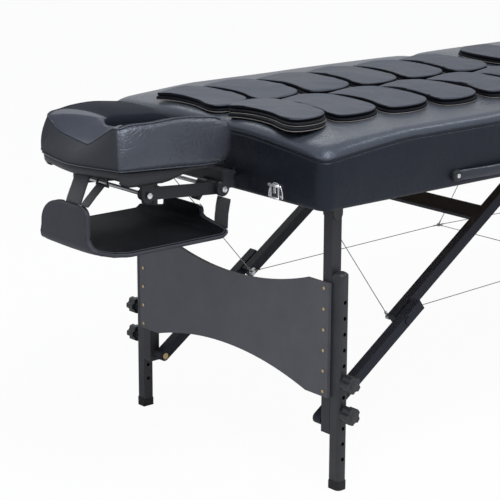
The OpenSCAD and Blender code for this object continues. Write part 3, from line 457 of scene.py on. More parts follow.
def stitches(name, spots, length, radius, material):
    """Short spindles of thread. Each spot is a place, its direction along the seam and the outward one."""
    points, faces = [], []
    for p, along, out in spots:
        third = along.cross(out).normalized()
        start = len(points)
        points += [p - along * length / 2, p + along * length / 2]
        points += [p + out * radius, p + third * radius, p - out * radius, p - third * radius]
        for k in range(4):
            a, b = start + 2 + k, start + 2 + (k + 1) % 4
            faces += [(start, b, a), (start + 1, a, b)]
    return solid_from(name, points, faces, material)


def seam_stitch(p, out):
    return band_point(p, out, seam_z - corner_drop(p.x, p.y) - stitch_row, -0.0007)


spots, next_at = [], stitch_pitch / 2
fine = walk_round(0.002)
for k, (p, out, length) in enumerate(fine):
    if length >= next_at:
        next_at += stitch_pitch
        here, there = seam_stitch(p, out), seam_stitch(fine[(k + 1) % len(fine)][0], out)
        spots.append((here, (there - here).normalized(), out))
head_stitches = stitches("head_seam_stitches", spots, stitch_long, thread_thick, black_thread)
foot_stitches = foot_copy(head_stitches, "foot_seam_stitches")
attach(head_stitches, "head_top")


# Leaf pads
# Twelve quilted massage pads lie on each half in two rows. Each is a stack of leaf-shaped leather layers with
# a fine edging, cut so that it nests into the hollow side of the next.
leaf_outline = [
    (0.67, 0.75), (0.83, 0.29), (0.72, -0.34), (0.48, -0.78), (-0.1, -1.04), (-0.8, -1.1), (-1.2, -1.0),
    (-1.22, -0.76), (-0.98, -0.34), (-0.9, 0.06), (-0.98, 0.38), (-1.19, 0.64), (-0.86, 0.74), (-0.4, 0.83),
    (0.13, 0.9)]
leaf_heart = Vector((-0.2, -0.1))
leaf_half = (0.075, 0.118)
leaf_layer, tall_stack, stack_thick = 0.008, 3, 0.0072  # a tall stack has thinner layers
leaf_rows = ((-0.121, 3), (0.119, 2))
leaf_first, leaf_pitch, leaf_count = 0.086, 0.148, 6
# size from the heart and height in the layer, over the edge and in to the middle
leaf_rings = [(0.93, 0.0), (0.985, 0.04), (1.0, 0.25), (0.998, 0.7), (0.985, 0.9), (0.955, 0.98), (0.88, 1.03),
              (0.66, 1.17), (0.36, 1.3), (0.12, 1.36)]


def curve_through(points, steps):
    """A closed smooth curve through the points."""
    made, n = [], len(points)
    for i in range(n):
        a, b, c, d = (Vector(points[(i + k) % n]) for k in (-1, 0, 1, 2))
        for k in range(steps):
            t = k / steps
            made.append((2 * b + (c - a) * t + (2 * a - 5 * b + 4 * c - d) * t * t
                         + (3 * b - a - 3 * c + d) * t ** 3) / 2)
    return made


def stacked_rings(rings, material, name):
    """A skin over rings of points, capped at both ends."""
    n = len(rings[0])
    points = [p for ring in rings for p in ring]
    faces = [(k * n + i, k * n + (i + 1) % n, (k + 1) * n + (i + 1) % n, (k + 1) * n + i)
             for k in range(len(rings) - 1) for i in range(n)]
    faces += [tuple(range(n - 1, -1, -1)), tuple(range((len(rings) - 1) * n, len(rings) * n))]
    return solid_from(name, points, faces, material)


def tube(name, path, radius, material, sides=6, loop=False):
    """A thin round tube along points."""
    rings = []
    for i, p in enumerate(path):
        before = path[i - 1] if i or loop else p
        after = path[(i + 1) % len(path)] if loop or i < len(path) - 1 else p
        along = (after - before).normalized()
        side = along.cross(Vector((0.13, 0.21, 0.97))).normalized()
        up = side.cross(along)
        rings.append([p + radius * (side * math.cos(a) + up * math.sin(a))
                      for a in (2 * math.pi * k / sides for k in range(sides))])
    if not loop:
        return stacked_rings(rings, material, name)
    n = len(rings)
    faces = [(k * sides + i, k * sides + (i + 1) % sides, (k + 1) % n * sides + (i + 1) % sides,
              (k + 1) % n * sides + i) for k in range(n) for i in range(sides)]
    return solid_from(name, [p for ring in rings for p in ring], faces, material)


def joined(pieces, name):
    """Joins finished meshes into the first one."""
    bpy.ops.object.select_all(action="DESELECT")
    for piece in pieces:
        piece.select_set(True)
    bpy.context.view_layer.objects.active = pieces[0]
    if len(pieces) > 1:
        bpy.ops.object.join()
    pieces[0].name = name
    return pieces[0]


leaf_curve = curve_through(leaf_outline, 6)
pad_leather = leather("pad_leather", (0.05, 0.058, 0.078, 1), 0.5, creases=0.0002, waves=0.003)
# a near-black copy of the pad leather for the pads' sides and their lower layers: painted shade
pad_side = leather("pad_side", (0.006, 0.006, 0.009, 1), 0.62, creases=0.0001, waves=0.001, gloss=0.12)
edging = thread("pad_edging", (0.3, 0.28, 0.26, 1))
top_z = seam_z + crown_h + 0.0004


def leaf_pad(place, layers, seed, narrow):
    """One stack and its edgings. narrow draws in the side towards the table's end, so that it stays on the top."""
    draw = random.Random(seed)
    skins, trims = [], []
    fan = Vector((0.007, 0.009)) if layers >= tall_stack else Vector((0.002, 0.004))
    thick = stack_thick if layers >= tall_stack else leaf_layer
    for level in range(layers):
        turn = math.radians(draw.uniform(-1.2, 1.2))
        slide = Vector((draw.uniform(-0.0015, 0.0015), draw.uniform(-0.0015, 0.0015))) - fan * (layers - 1 - level)
        grown = 1 + 0.012 * (layers - 1 - level)
        dent = Vector((draw.uniform(-0.5, 0.5), draw.uniform(-0.5, 0.5)))
        top_layer = level == layers - 1

        def spot(q, size, high):
            e = leaf_heart + (q - leaf_heart) * size
            x, y = (0.83 - (0.83 - e.x) * narrow) * leaf_half[0] * grown, e.y * leaf_half[1] * grown
            x, y = x * math.cos(turn) - y * math.sin(turn) + slide.x, x * math.sin(turn) + y * math.cos(turn) + slide.y
            z = level * thick + min(high, 1 + 0.6 * (high - 1) * top_layer) * (thick - 0.0005)
            if high > 0.9 and top_layer:
                z += ripple(x, y, seed * 0.7, 0.045, 0.0022)
                z -= 0.0012 * math.exp(-((e - dent).length / 0.35) ** 2)
            z += ripple(x, y, seed + level * 3.0, 0.09, 0.0009) * (1 if high > 0.5 else 0.3)
            return Vector((place.x + x, place.y + y, top_z + max(z, 0)))

        skin = stacked_rings([[spot(q, size, high) for q in leaf_curve] for size, high in leaf_rings],
                             pad_leather if top_layer else pad_side, "leaf_layer")
        skins.append(skin)
        if top_layer:
            # the top layer's steep sides take the near-black copy, chosen by which way each face looks: painted shade
            skin.data.materials.append(pad_side)
            for face in skin.data.polygons:
                face.material_index = int(face.normal.z < 0.62)
        else:
            trim = [spot(q, 1.0, 0.12) for q in leaf_curve[::2]]
            trims.append(tube("leaf_trim", trim, 0.0009, edging, 5, loop=True))
    return skins, trims


skins, trims = [], []
for row_y, first_layers in leaf_rows:
    for i in range(leaf_count):
        place = Vector((end_x + leaf_first + i * leaf_pitch, row_y, 0))
        layers, narrow = (first_layers, 0.84) if i == 0 else (2, 1)
        new_skins, new_trims = leaf_pad(place, layers, round(1000 * abs(row_y)) + i, narrow)
        skins += new_skins
        trims += new_trims
head_pads = joined(skins, "head_leaf_cushions")
head_edging = joined(trims, "head_leaf_edging")
foot_pads = foot_copy(head_pads, "foot_leaf_cushions", "foot_leaf_pads", turned=True)
foot_edging = foot_copy(head_edging, "foot_leaf_edging", turned=True)
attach(head_pads, "head_top")
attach(head_edging, "head_top")
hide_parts("head_leaf_pads")


# Carrying handles
# A padded leather strap on each half's near side, stitched along both edges and bowed out for the hand. Each
# end is held under a moulded cap by one chrome screw.
handle_length, handle_x, handle_z = 0.268, 0.430, under_z + 0.0235
handle_bow, handle_high, handle_thick, strap_off = 0.012, 0.0215, 0.0085, 0.0032
cap_inset, cap_off, cap_radius, bump_ring = 0.006, 0.0066, 0.0125, 0.0085

wear_sockets = ("Grain scale", "Grain detail", "Patch scale", "Patch detail", "Patch roughness")
hard_surface, given, result = new_group("hard_surface", wear_sockets, ("Grain", "Patches"))
feed(hard_surface, result["Grain"], clouds(
    hard_surface, given["Place"], given["Grain scale"], given["Grain detail"]))
feed(hard_surface, result["Patches"], clouds(
    hard_surface, given["Place"], given["Patch scale"], given["Patch detail"], Roughness=given["Patch roughness"]))


def wear(tree, place, grain, patches):
    """A hard finish's fine grain and slow patches, from the scale and detail of each and the patches' roughness."""
    made = put(tree, "ShaderNodeGroup", {"Place": place, **dict(zip(wear_sockets, grain + patches))},
               node_tree=hard_surface).outputs
    return made["Grain"], made["Patches"]


def plastic(name, tone, roughness, speckle=0.00006):
    """Moulded plastic with a fine spark-eroded grain and slightly uneven gloss."""
    made, tree, shader, place = new_material(name)
    grain, patches = wear(tree, place, (900.0, 2.0), (22.0, 4.0, 0.5))
    shade(tree, shader, Base_Color=blend_colors(tree, patches, toned(tone, 0.7), tone),
          Roughness=ramp(tree, patches, 0.3, 0.7, roughness - 0.06, roughness + 0.08),
          Normal=relief(tree, grain, speckle))
    return made


def metal(name, tone, roughness, brushed=0.00002, plated=1.0):
    """Plated or bare metal with faint handling marks."""
    made, tree, shader, place = new_material(name)
    marks, patches = wear(tree, place, (320.0, 4.0), (40.0, 3.0, 0.5))
    shade(tree, shader, Base_Color=blend_colors(tree, patches, toned(tone, 0.75), tone), Metallic=plated,
          Roughness=ramp(tree, patches, 0.3, 0.7, max(0.03, roughness - 0.05), roughness + 0.08),
          Normal=relief(tree, marks, brushed))
    return made


# the chrome is only three quarters metallic, so a quarter of its pale base shows as bright diffuse colour: painted
# reflection
chrome = metal("chrome", (0.9, 0.91, 0.93, 1), 0.2, plated=0.75)
black_plastic = plastic("black_plastic", (0.022, 0.023, 0.027, 1), 0.38)
handle_leather = leather("handle_leather", (0.016, 0.017, 0.023, 1), 0.3, creases=0.0002, waves=0.001, gloss=0.8)


def rounded_box(name, place, size, radius, material):
    """A box with rounded edges, its place kept in the mesh."""
    bpy.ops.object.select_all(action="DESELECT")
    bpy.ops.mesh.primitive_cube_add(size=1, location=place)
    made = bpy.context.object
    made.name = name
    made.scale = size
    bpy.ops.object.transform_apply(location=False, rotation=False, scale=True)
    round_edges(made, radius)
    made.data.materials.append(material)
    settle(made)
    return made


def round_edges(piece, radius, segments=3):
    edge = piece.modifiers.new("rounded", "BEVEL")
    edge.width, edge.segments, edge.limit_method, edge.angle_limit = radius, segments, "ANGLE", math.radians(40)
    apply_modifiers(piece)


def settle(piece):
    """Puts a piece's place into its mesh and smooths its soft angles."""
    bpy.context.view_layer.objects.active = piece
    bpy.ops.object.select_all(action="DESELECT")
    piece.select_set(True)
    bpy.ops.object.transform_apply(location=True, rotation=True, scale=True)
    bpy.ops.object.shade_smooth_by_angle(angle=math.radians(35))


def round_piece(name, place, radius, height, axis, material, bevel=0.0, sides=32):
    """A disc or pin along an axis, with its rims rounded."""
    bpy.ops.object.select_all(action="DESELECT")
    turn = Vector((0, 0, 1)).rotation_difference(Vector(axis)).to_euler()
    bpy.ops.mesh.primitive_cylinder_add(vertices=sides, radius=radius, depth=height, location=place, rotation=turn)
    made = bpy.context.object
    made.name = name
    if bevel:
        round_edges(made, bevel, 2)
    made.data.materials.append(material)
    settle(made)
    return made


def screw_head(name, place, axis, radius, material):
    """A pan head with a cross recess."""
    place, axis = Vector(place), Vector(axis)
    head = round_piece(name, place + axis * radius * 0.2, radius, radius * 0.55, axis, material,
                       bevel=radius * 0.2, sides=28)
    turn = Vector((0, 0, 1)).rotation_difference(axis).to_euler()
    wide, narrow, deep = radius * 1.1, radius * 0.26, radius * 0.5
    for recess in ((narrow, wide, deep), (wide, narrow, deep)):
        bpy.ops.mesh.primitive_cube_add(size=1, location=place + axis * radius * 0.55, rotation=turn)
        cutter = bpy.context.object
        cutter.scale = recess
        cut_away(head, cutter)
    return head


def oval(sides, across_power, up_power):
    """The points round a soft oval, across and up, each from -1 to 1. A lower power squares it off."""
    angles = [2 * math.pi * k / sides for k in range(sides)]
    return [(math.copysign(abs(math.cos(a)) ** across_power, math.cos(a)),
             math.copysign(abs(math.sin(a)) ** up_power, math.sin(a))) for a in angles]


def grip_line(t):
    """The x and y of the strap's middle, from 0 at one cap's screw to 1 at the other's."""
    return (fold_x - handle_x - handle_length / 2 + cap_inset + (handle_length - 2 * cap_inset) * t,
            -half_width - strap_off - handle_bow * math.sin(math.pi * t) ** 0.6)


strap_rings, strap_steps = [], 34
for i in range(strap_steps + 1):
    t = i / strap_steps
    ends = max(abs(2 * t - 1) - 0.86, 0) / 0.14
    x, y = grip_line(t)
    high, thick = handle_high / 2 * (1 - 0.12 * ends), handle_thick / 2 * (1 - 0.3 * ends)
    strap_rings.append([
        Vector((x, y - thick * flat * (1.25 if flat > 0 else 0.8) + ripple(x * 0.3, rim * 0.03, 2.0, 0.012, 0.0011),
                handle_z + high * rim)) for flat, rim in oval(20, 0.85, 0.75)])
grip = stacked_rings(strap_rings, handle_leather, "head_handle_strap")
grip_stitches = []
for i in range(2, 60):
    x, y = grip_line(i / 62)
    for s in (-1, 1):
        spot = Vector((x, y - handle_thick * 0.56, handle_z + s * handle_high * 0.36))
        grip_stitches.append((spot, Vector((1, 0, 0)), Vector((0, -1, 0))))
grip_thread = stitches("head_handle_stitches", grip_stitches, 0.0028, 0.00035, black_thread)
caps, cap_bumps = [], 9
for s in (-1, 1):
    cap = Vector((fold_x - handle_x + s * (handle_length / 2 - cap_inset), -half_width - cap_off, handle_z))
    caps.append(round_piece("handle_cap", cap, cap_radius, 0.0115, (0, -1, 0), black_plastic, 0.003))
    for k in range(cap_bumps):
        a = 2 * math.pi * k / cap_bumps
        bump = cap + bump_ring * Vector((math.cos(a), 0, math.sin(a))) - Vector((0, 0.006, 0))
        caps.append(round_piece("handle_bump", bump, 0.0016, 0.002, (0, -1, 0), black_plastic, 0.0005, 12))
    caps.append(screw_head("handle_screw", cap - Vector((0, 0.0057, 0)), (0, -1, 0), 0.0046, chrome))
head_caps = joined(caps, "head_handle_caps")
for piece, name, nodes in ((grip, "foot_handle_strap", ("foot_handle",)), (grip_thread, "foot_handle_stitches", ()),
                           (head_caps, "foot_handle_caps", ())):
    other = foot_copy(piece, name, *nodes)
    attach(piece, "head_top")
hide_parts("head_handle")


# Draw latches and their keepers
# Pressed steel, chrome plated. On the head end each latch is an arched plate with a bright rolled rim, and a
# hinged draw lever of bars with a curled lip; on the foot end a plate carries the hook that the latch grips.
# The arched plate inside the rim is a dark grey metal: painted shade in the latch's hollow.
dress(chrome, "latch_keepers")
# the plate's dark grey metal is painted shade in the hollow inside the rim
latch_shade = metal("latch_plate", (0.2, 0.205, 0.22, 1), 0.35, plated=0.8)
latch_y, latch_z, latch_face = 0.218, under_z + 0.004, 0.9183
latch_half, latch_rise, latch_sheet, barrel_half = 0.020, 0.034, 0.002, 0.0135
lug_y, bar_y, screw_y = 0.016, 0.0115, 0.0166
latch_pin = Vector((fold_x - latch_face - 0.0034, 0, latch_z + 0.74 * latch_rise))
arch_half, arch_rise = 0.0215, 0.0305
arch = [(-arch_half, 0.0), (-arch_half, 0.006)]
arch += [(-arch_half * math.cos(math.pi * k / 16), 0.009 + (arch_rise - 0.009) * math.sin(math.pi * k / 16) ** 1.1)
         for k in range(17)]
arch += [(arch_half, 0.006), (arch_half, 0.0)]
plates = []
for side in (-1, 1):
    y, n = side * latch_y, len(arch)
    points = [Vector((fold_x - latch_face + deep, y + a, latch_z + up))
              for deep in (latch_sheet, 0.0) for a, up in arch]
    faces = [(k, (k + 1) % n, n + (k + 1) % n, n + k) for k in range(n)]
    faces += [tuple(range(n)), tuple(range(2 * n - 1, n - 1, -1))]
    plates.append(solid_from("latch_plate", points, faces, latch_shade, False))
    rolled = [Vector((fold_x - latch_face, y + a * 0.93, latch_z + up * 0.97)) for a, up in arch]
    plates.append(tube("latch_rim", rolled, 0.0016, chrome, 10))
    for across in (-lug_y, lug_y):
        lug = (latch_pin.x + 0.0015, y + across, latch_pin.z)
        plates.append(rounded_box("latch_lug", lug, (0.0058, 0.002, 0.006), 0.0006, chrome))
    for body, x, out in (("head_top", fold_x - latch_face, -1), ("foot_top", fold_x + latch_face, 1)):
        shown = [screw_head("latch_screw", (x, y + across, latch_z + 0.005), (out, 0, 0), 0.0028, chrome)
                 for across in (-screw_y, screw_y)]
        if out < 0:
            plates += shown
        else:
            screws = joined(shown, "foot_latch_screws_" + ("near" if side < 0 else "far"))
            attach(screws, body)
latch_plates = joined(plates, "latch_plates")
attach(latch_plates, "head_top")
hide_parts("latch_bases")
for side, body in ((-1, "latch_lever_near"), (1, "latch_lever_far")):
    pin = latch_pin + Vector((0, side * latch_y, 0))
    lip = pin - Vector((0, 0, latch_pin.z - latch_z))
    bars = [tube(name, [middle - Vector((0, half, 0)), middle + Vector((0, half, 0))], radius, chrome, around)
            for name, middle, half, radius, around in (
                ("lever_pin", pin, latch_half, 0.0015, 12), ("lever_barrel", pin, barrel_half, 0.0028, 14),
                ("lever_lip", lip, barrel_half, 0.0022, 14))]
    for across in (-bar_y, bar_y):
        bars.append(rounded_box("lever_bar", pin.lerp(lip, 0.5) + Vector((0, across, 0)),
                                (0.0028, 0.004, pin.z - lip.z), 0.001, chrome))
    bars.append(rounded_box("lever_tongue", pin.lerp(lip, 0.36), (0.0028, 0.0075, 0.013), 0.0012, chrome))
    lever = joined(bars, body + "_bars")
    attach(lever, body)
    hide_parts(body)


# Hinges, brackets and knee fittings
# Zinc-plated steel: the fold hinges under the two halves and the knee bolts with the eyes that the stay
# cables are crimped to. The brackets that carry the legs and the brace arms are painted black.
zinc = metal("zinc_plate", (0.56, 0.57, 0.58, 1), 0.34, 0.00004)
dress(zinc, "head_fold_hinges", "foot_fold_hinges", "head_knee_fittings", "foot_knee_fittings", "cradle_pins")
black_steel = plastic("painted_brackets", (0.03, 0.03, 0.034, 1), 0.42)
dress(black_steel, "head_brackets", "foot_brackets")


# Legs, end panels, braces and crossbars
# The legs are square steel tubes with sliding outer legs, painted satin black like the thin plywood
# panel across each pair. The brace arms and their crossbars are a deeper black, which is painted shade
# for their place under the table.
def paint(name, tone, roughness, orange_peel=0.00005, worn=0.35, gloss=0.5):
    """Satin paint with orange peel, a little dust and paler scuffed patches."""
    made, tree, shader, place = new_material(name)
    peel, dust = wear(tree, place, (420.0, 2.0), (16.0, 6.0, 0.62))
    shade(tree, shader, Base_Color=blend_colors(tree, ramp(tree, dust, 0.35, 0.7), tone, toned(tone, 1 + worn)),
          Roughness=ramp(tree, dust, 0.3, 0.7, roughness - 0.05, roughness + 0.1),
          Normal=relief(tree, peel, orange_peel), Specular_IOR_Level=gloss)
    return made


leg_paint = paint("leg_paint", (0.017, 0.0167, 0.0215, 1), 0.5)
panel_paint = paint("panel_paint", (0.072, 0.072, 0.082, 1), 0.55)
# the brace arms' deeper black is painted shade for their place under the table
arm_paint = paint("arm_paint", (0.011, 0.013, 0.02, 1), 0.42, gloss=0.2)
brass = metal("brass", (0.62, 0.47, 0.25, 1), 0.3)
dress(leg_paint, "head_upper_legs", "foot_upper_legs")
dress(panel_paint, "head_end_panel", "foot_end_panel")
dress(arm_paint, "head_lower_arms", "foot_lower_arms", "head_upper_arms", "foot_upper_arms", "head_crossbar",
      "foot_crossbar")
dress(brass, "head_leg_screws", "foot_leg_screws")

# the outer legs are leg paint above and a rubber shoe at the floor, told apart by height
shoe_height = 0.0181
lower_leg, tree, shader, place = new_material("lower_leg")
height = put(tree, "ShaderNodeSeparateXYZ", {"Vector": place}).outputs["Z"]
rubber = maths(tree, "LESS_THAN", height, shoe_height)
peel, dust = wear(tree, place, (420.0, 2.0), (18.0, 6.0, 0.5))
painted = blend_colors(tree, ramp(tree, dust, 0.35, 0.7), (0.017, 0.0175, 0.022, 1), (0.025, 0.0255, 0.031, 1))
shade(tree, shader, Base_Color=blend_colors(tree, rubber, painted, (0.014, 0.014, 0.015, 1)),
      Roughness=ramp(tree, rubber, -1.0, 1.2), Normal=relief(tree, peel, 0.00005))
dress(lower_leg, "head_lower_leg_near", "head_lower_leg_far", "foot_lower_leg_near", "foot_lower_leg_far")


# Knobs
# Black moulded knobs with five lobes, each on a threaded stud. Two of them clamp each outer leg to its post
# through two of its height holes. A plug with a ring round it closes each knob's face.
knobs = [f"{half}_knob_{side}_{level}" for half in ("head", "foot") for side in ("near", "far")
         for level in ("upper", "lower")]
dress(black_plastic, *knobs)
for name in knobs:
    low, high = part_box(name)
    out = -1 if "near" in name else 1
    face = Vector(((low.x + high.x) / 2, low.y if out < 0 else high.y, (low.z + high.z) / 2))
    parts = [round_piece(part, face + Vector((0, out * lift, 0)), radius, tall, (0, out, 0), black_plastic, bevel)
             for part, lift, radius, tall, bevel in ((name + "_plug", 0.0002, 0.0075, 0.0016, 0.0005),
                                                     ("knob_ring", 0.0001, 0.0105, 0.0008, 0.0003))]
    badge = joined(parts, name + "_plug")
    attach(badge, next(b for b, nodes in frame["record"]["behaviour"]["bodies"].items() if name in nodes))


# Stay cables
# Thin stranded steel cables stay the braces: from each knee up to the deck beside the leg, and along to a
# ring under the fold, which hangs from a cable of its own and is tied across to the other side's ring. A
# sleeve is crimped on at each end.
cable_steel = metal("cable_steel", (0.36, 0.36, 0.37, 1), 0.38, 0.0001)
crimp_radius, crimp_near, crimp_far, cable_radius = 0.0016, 0.002, 0.014, 0.001
knee_y, deck_y, hanger_y = 0.2235, 0.2615, 0.055
junction = Vector((fold_x, 0.216, 0.314))


def cable(name, start, end, steps=14):
    """A taut cable with a crimped sleeve at each end."""
    path = [start.lerp(end, k / steps) for k in range(steps + 1)]
    along = (end - start).normalized()
    return [tube(name, path, cable_radius, cable_steel, 6),
            tube("crimp", [start + along * crimp_near, start + along * crimp_far], crimp_radius, cable_steel, 8),
            tube("crimp", [end - along * crimp_far, end - along * crimp_near], crimp_radius, cable_steel, 8)]


for half, sign in (("head", -1), ("foot", 1)):
    low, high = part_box(f"{half}_stay_cables")
    eye = Vector((high.x if half == "head" else low.x, 0, low.z))
    deck = Vector((low.x if half == "head" else high.x, 0, high.z))
    stays, runs = [], []
    for side in (-1, 1):
        knee = Vector((eye.x, side * knee_y, eye.z))
        top = Vector((deck.x, side * deck_y, deck.z))
        stays += cable("stay", knee, top)
        stays.append(tube("stay_end", [knee, knee.lerp(top, 0.03)], 0.003, cable_steel, 12))
        near_knee = knee + (junction - Vector((knee.x, junction.y, knee.z))) * 0.02
        runs += cable("run", near_knee, Vector((fold_x + sign * 0.004, side * junction.y, junction.z)))
    for pieces, name, hidden in ((stays, f"{half}_stays", (f"{half}_stay_cables",)), (runs, f"{half}_knee_runs", ())):
        line = joined(pieces, name)
        if hidden:
            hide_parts(*hidden)
        start = (deck.x, 0, deck.z) if pieces is stays else (fold_x + sign * 0.01, 0, junction.z)
        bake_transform(line)
hangs = []
for side in (-1, 1):
    knot = Vector((fold_x, side * junction.y, junction.z))
    hangs += cable("hanger", knot, Vector((fold_x - 0.009, side * hanger_y, under_z - 0.0005)))
    hangs.append(round_piece("junction_ring", knot, 0.0042, 0.006, (0, 1, 0), cable_steel, 0.001, 20))
hangs += cable("cross", Vector((fold_x, -junction.y, junction.z)), Vector((fold_x, junction.y, junction.z)), 30)
hangers = joined(hangs, "centre_hangers")
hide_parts("centre_cables")
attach(hangers, "head_top")


# Face cradle base, arms and platform
# Steel posts slide into the end rail and carry the black steel link arms; the ribbed plastic platform pivots
# on their front pins under the cushion, and a small cam lever clamps them.
platform_plastic = plastic("platform_plastic", (0.012, 0.0125, 0.017, 1), 0.42, 0.0001)
cradle_paint = paint("cradle_paint", (0.014, 0.0145, 0.019, 1), 0.42)
dress(cradle_paint, "cradle_base", "cradle_link_arms")
dress(black_plastic, "cradle_cam_lever")
dress(platform_plastic, "cradle_platform")
pin_y, low_pin, high_pin = 0.1205, post_z - 0.022, post_z - 0.008
pin_places = ((fold_x - 0.968, low_pin), (fold_x - 1.154, high_pin))
pin_heads = joined([round_piece("pin_head", (x, side * pin_y, z), 0.0062, 0.0035, (0, side, 0), chrome, 0.0012)
                    for x, z in pin_places for side in (-1, 1)], "cradle_pin_heads")
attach(pin_heads, "cradle_arms")


# Face cradle cushion
# A horseshoe of foam in glossy black leather: a plain front panel with a dip for the chin between two peaks,
# boxed side panels that wrinkle, a top that slopes in to the face opening, and piping on the seams.
pivot = Vector((fold_x - 1.088, 0, 0.678))
cradle_slope = math.radians(3.5)
cushion_half, hole_half = 0.150, 0.046
cradle_back, hole_bend = -0.972, -1.120
near_corner, far_corner = 0.013, 0.040
cushion_foot, foot_inset, hole_z = 0.673, 0.002, 0.735
drawn_in = 0.011  # how far the arms' ends are drawn in all round
chin_back, chin_drop, far_drop = 0.043, 0.052, 0.010


def between(value, table):
    """Reads a table of (place, amount) pairs, smoothly between them."""
    if value <= table[0][0]:
        return table[0][1]
    for (a, p), (b, q) in zip(table, table[1:]):
        if value <= b:
            t = (value - a) / (b - a)
            return p + (q - p) * t * t * (3 - 2 * t)
    return table[-1][1]


def sloped(x, y, z):
    """A point of the level cushion, turned forward on its pivot. x is from the fold."""
    dx, dz = x + fold_x - pivot.x, z - pivot.z
    return Vector((pivot.x + dx * math.cos(cradle_slope) + dz * math.sin(cradle_slope), y,
                   pivot.z - dx * math.sin(cradle_slope) + dz * math.cos(cradle_slope)))


def cushion_plan():
    """The foot's outline from the near arm's end round the front to the far arm's end. x is from the fold."""
    near_front, far_front = -1.247, -1.240
    near_run, far_run, turns = -1.234, -1.2, 9
    quarter = [math.pi / 2 * k / turns for k in range(1, turns)]
    outline = [(cradle_back + (near_run - cradle_back) * k / 16, -cushion_half) for k in range(17)]
    outline += [(near_front + near_corner - near_corner * math.sin(a),
                 -cushion_half + near_corner - near_corner * math.cos(a)) for a in quarter]
    for k in range(31):
        y = -cushion_half + near_corner + (2 * cushion_half - near_corner - far_corner) * k / 30
        outline.append((near_front + 0.007 * k / 30 - 0.0135 * (1 - (y / 0.14) ** 2), y))
    outline += [(far_front + far_corner - far_corner * math.cos(a),
                 cushion_half - far_corner + far_corner * math.sin(a)) for a in quarter]
    outline += [(far_run + (cradle_back - far_run) * k / 16, cushion_half) for k in range(17)]
    return [Vector(p) for p in outline]


stations = cushion_plan()
last = len(stations) - 1


def outward_at(i):
    """The level direction out of the cushion's foot at a station."""
    before, after = stations[max(i - 1, 0)], stations[min(i + 1, last)]
    return Vector((before.y - after.y, after.x - before.x)).normalized()


wall_steps, top_steps, inner_steps = 9, 11, 6
arm_seam = [(-1.247, 0.751), (-1.205, 0.759), (-1.1, 0.768), (-1.03, 0.765), (-0.977, 0.757)]
cushion_rings, seam_line, foot_line = [], [], []
near_seam, far_seam = 21, 63
for i, outer in enumerate(stations):
    end = min(i, last - i)
    drawn = drawn_in * (1, 0.45, 0.2, 0.06, 0)[min(end, 4)]
    out = outward_at(i)
    if outer.x > hole_bend:
        inner = Vector((outer.x, math.copysign(hole_half, outer.y)))
    else:
        inner = Vector((hole_bend, 0)) + (outer - Vector((hole_bend, 0))).normalized() * hole_half
    inward = (inner - outer).normalized()
    front = between(-outer.x, [(1.228, 0.0), (1.243, 1.0)])
    valley = (outer.y - 0.006) / (0.136 if outer.y > 0.006 else 0.140)
    dip = front * max(0.0, 1 - abs(valley) ** (1.6 if valley > 0 else 1.12))
    narrow = 0.02 + (0.095 if outer.y < 0 else 0.05) * between(-outer.x, [(1.15, 0.0), (1.245, 1.0)])
    edge = Vector((outer.x + 0.004 * front + chin_back * dip, outer.y * (1 - narrow)))
    far_lean = between(outer.y, [(0.06, 0.0), (0.12, 1.0)]) * between(-outer.x, [(1.15, 0.0), (1.22, 1.0)])
    far_side = between(outer.y, [(0.02, 0.0), (0.12, 1.0)])
    edge.x += 0.006 * far_lean
    high = between(outer.x, arm_seam) - chin_drop * dip - 0.004 * far_lean - far_drop * far_side - drawn
    low = cushion_foot + drawn - 0.008 * dip
    o, e, n = outer - out * drawn, edge - out * drawn, inner - inward * drawn
    hole_high = hole_z + 0.007 * far_side - drawn
    corner = math.exp(-((i - near_seam) / 2.0) ** 2)
    walk = i * 0.012
    ring = []
    for k in range(wall_steps):
        t = k / (wall_steps - 1)
        p = o.lerp(e, t ** (1 + 0.8 * dip))
        full = math.sin(math.pi * t) ** 0.7
        proud = (0.005 - 0.0035 * front) * full - 0.003 * corner * full * (1 - front)
        wrinkles = ripple(walk, t * 0.05, 1.3, 0.034, 0.0026) + ripple(walk * 0.6, t * 0.12, 7.1, 0.013, 0.0009)
        proud += (1 - front) * full * wrinkles
        ring.append(sloped(*(p + out * proud), low + (high - low) * t))
    for k in range(1, top_steps + 1):
        t = k / top_steps
        p = e.lerp(n, t)
        z = high + (hole_high - high) * t + (0.006 - 0.012 * dip) * math.sin(math.pi * t) ** 0.8
        z += ripple(p.x, p.y, 0.2, 0.06, 0.0014) * math.sin(math.pi * t)
        ring.append(sloped(p.x, p.y, z))
    for k in range(1, inner_steps + 1):
        t = k / inner_steps
        p = n + inward * (0.003 * math.sin(math.pi * t))
        ring.append(sloped(p.x, p.y, hole_high + (low - hole_high) * t))
    for t in (0.5, 0.93):
        p = n.lerp(o, t)
        ring.append(sloped(p.x, p.y, cushion_foot + drawn + foot_inset))
    cushion_rings.append(ring)
    seam_line.append(ring[wall_steps - 1])
    foot_line.append(low - drawn)
cradle_leather = leather("cradle_leather", (0.042, 0.045, 0.056, 1), 0.3, creases=0.0003, waves=0.005, gloss=0.95)
cushion = stacked_rings(cushion_rings, cradle_leather, "cradle_pad")
front_leather = leather("cradle_front_leather", (0.047, 0.049, 0.057, 1), 0.55, creases=0.0001, waves=0.001, gloss=0.2)
# the front's top takes a lighter copy of the cushion leather, painted light; the arms' tops, inner walls and underside
# take a near-black copy, painted shade
cradle_top_painted_lit = leather("cradle_top_leather", (0.062, 0.069, 0.09, 1), 0.4, creases=0.00015, waves=0.003)
cradle_inner_painted_shade = leather("cradle_arm_leather", (0.012, 0.015, 0.023, 1), 0.6, creases=0.00015, waves=0.002, gloss=0.08)
for material in (front_leather, cradle_top_painted_lit, cradle_inner_painted_shade):
    cushion.data.materials.append(material)
around = len(cushion_rings[0])
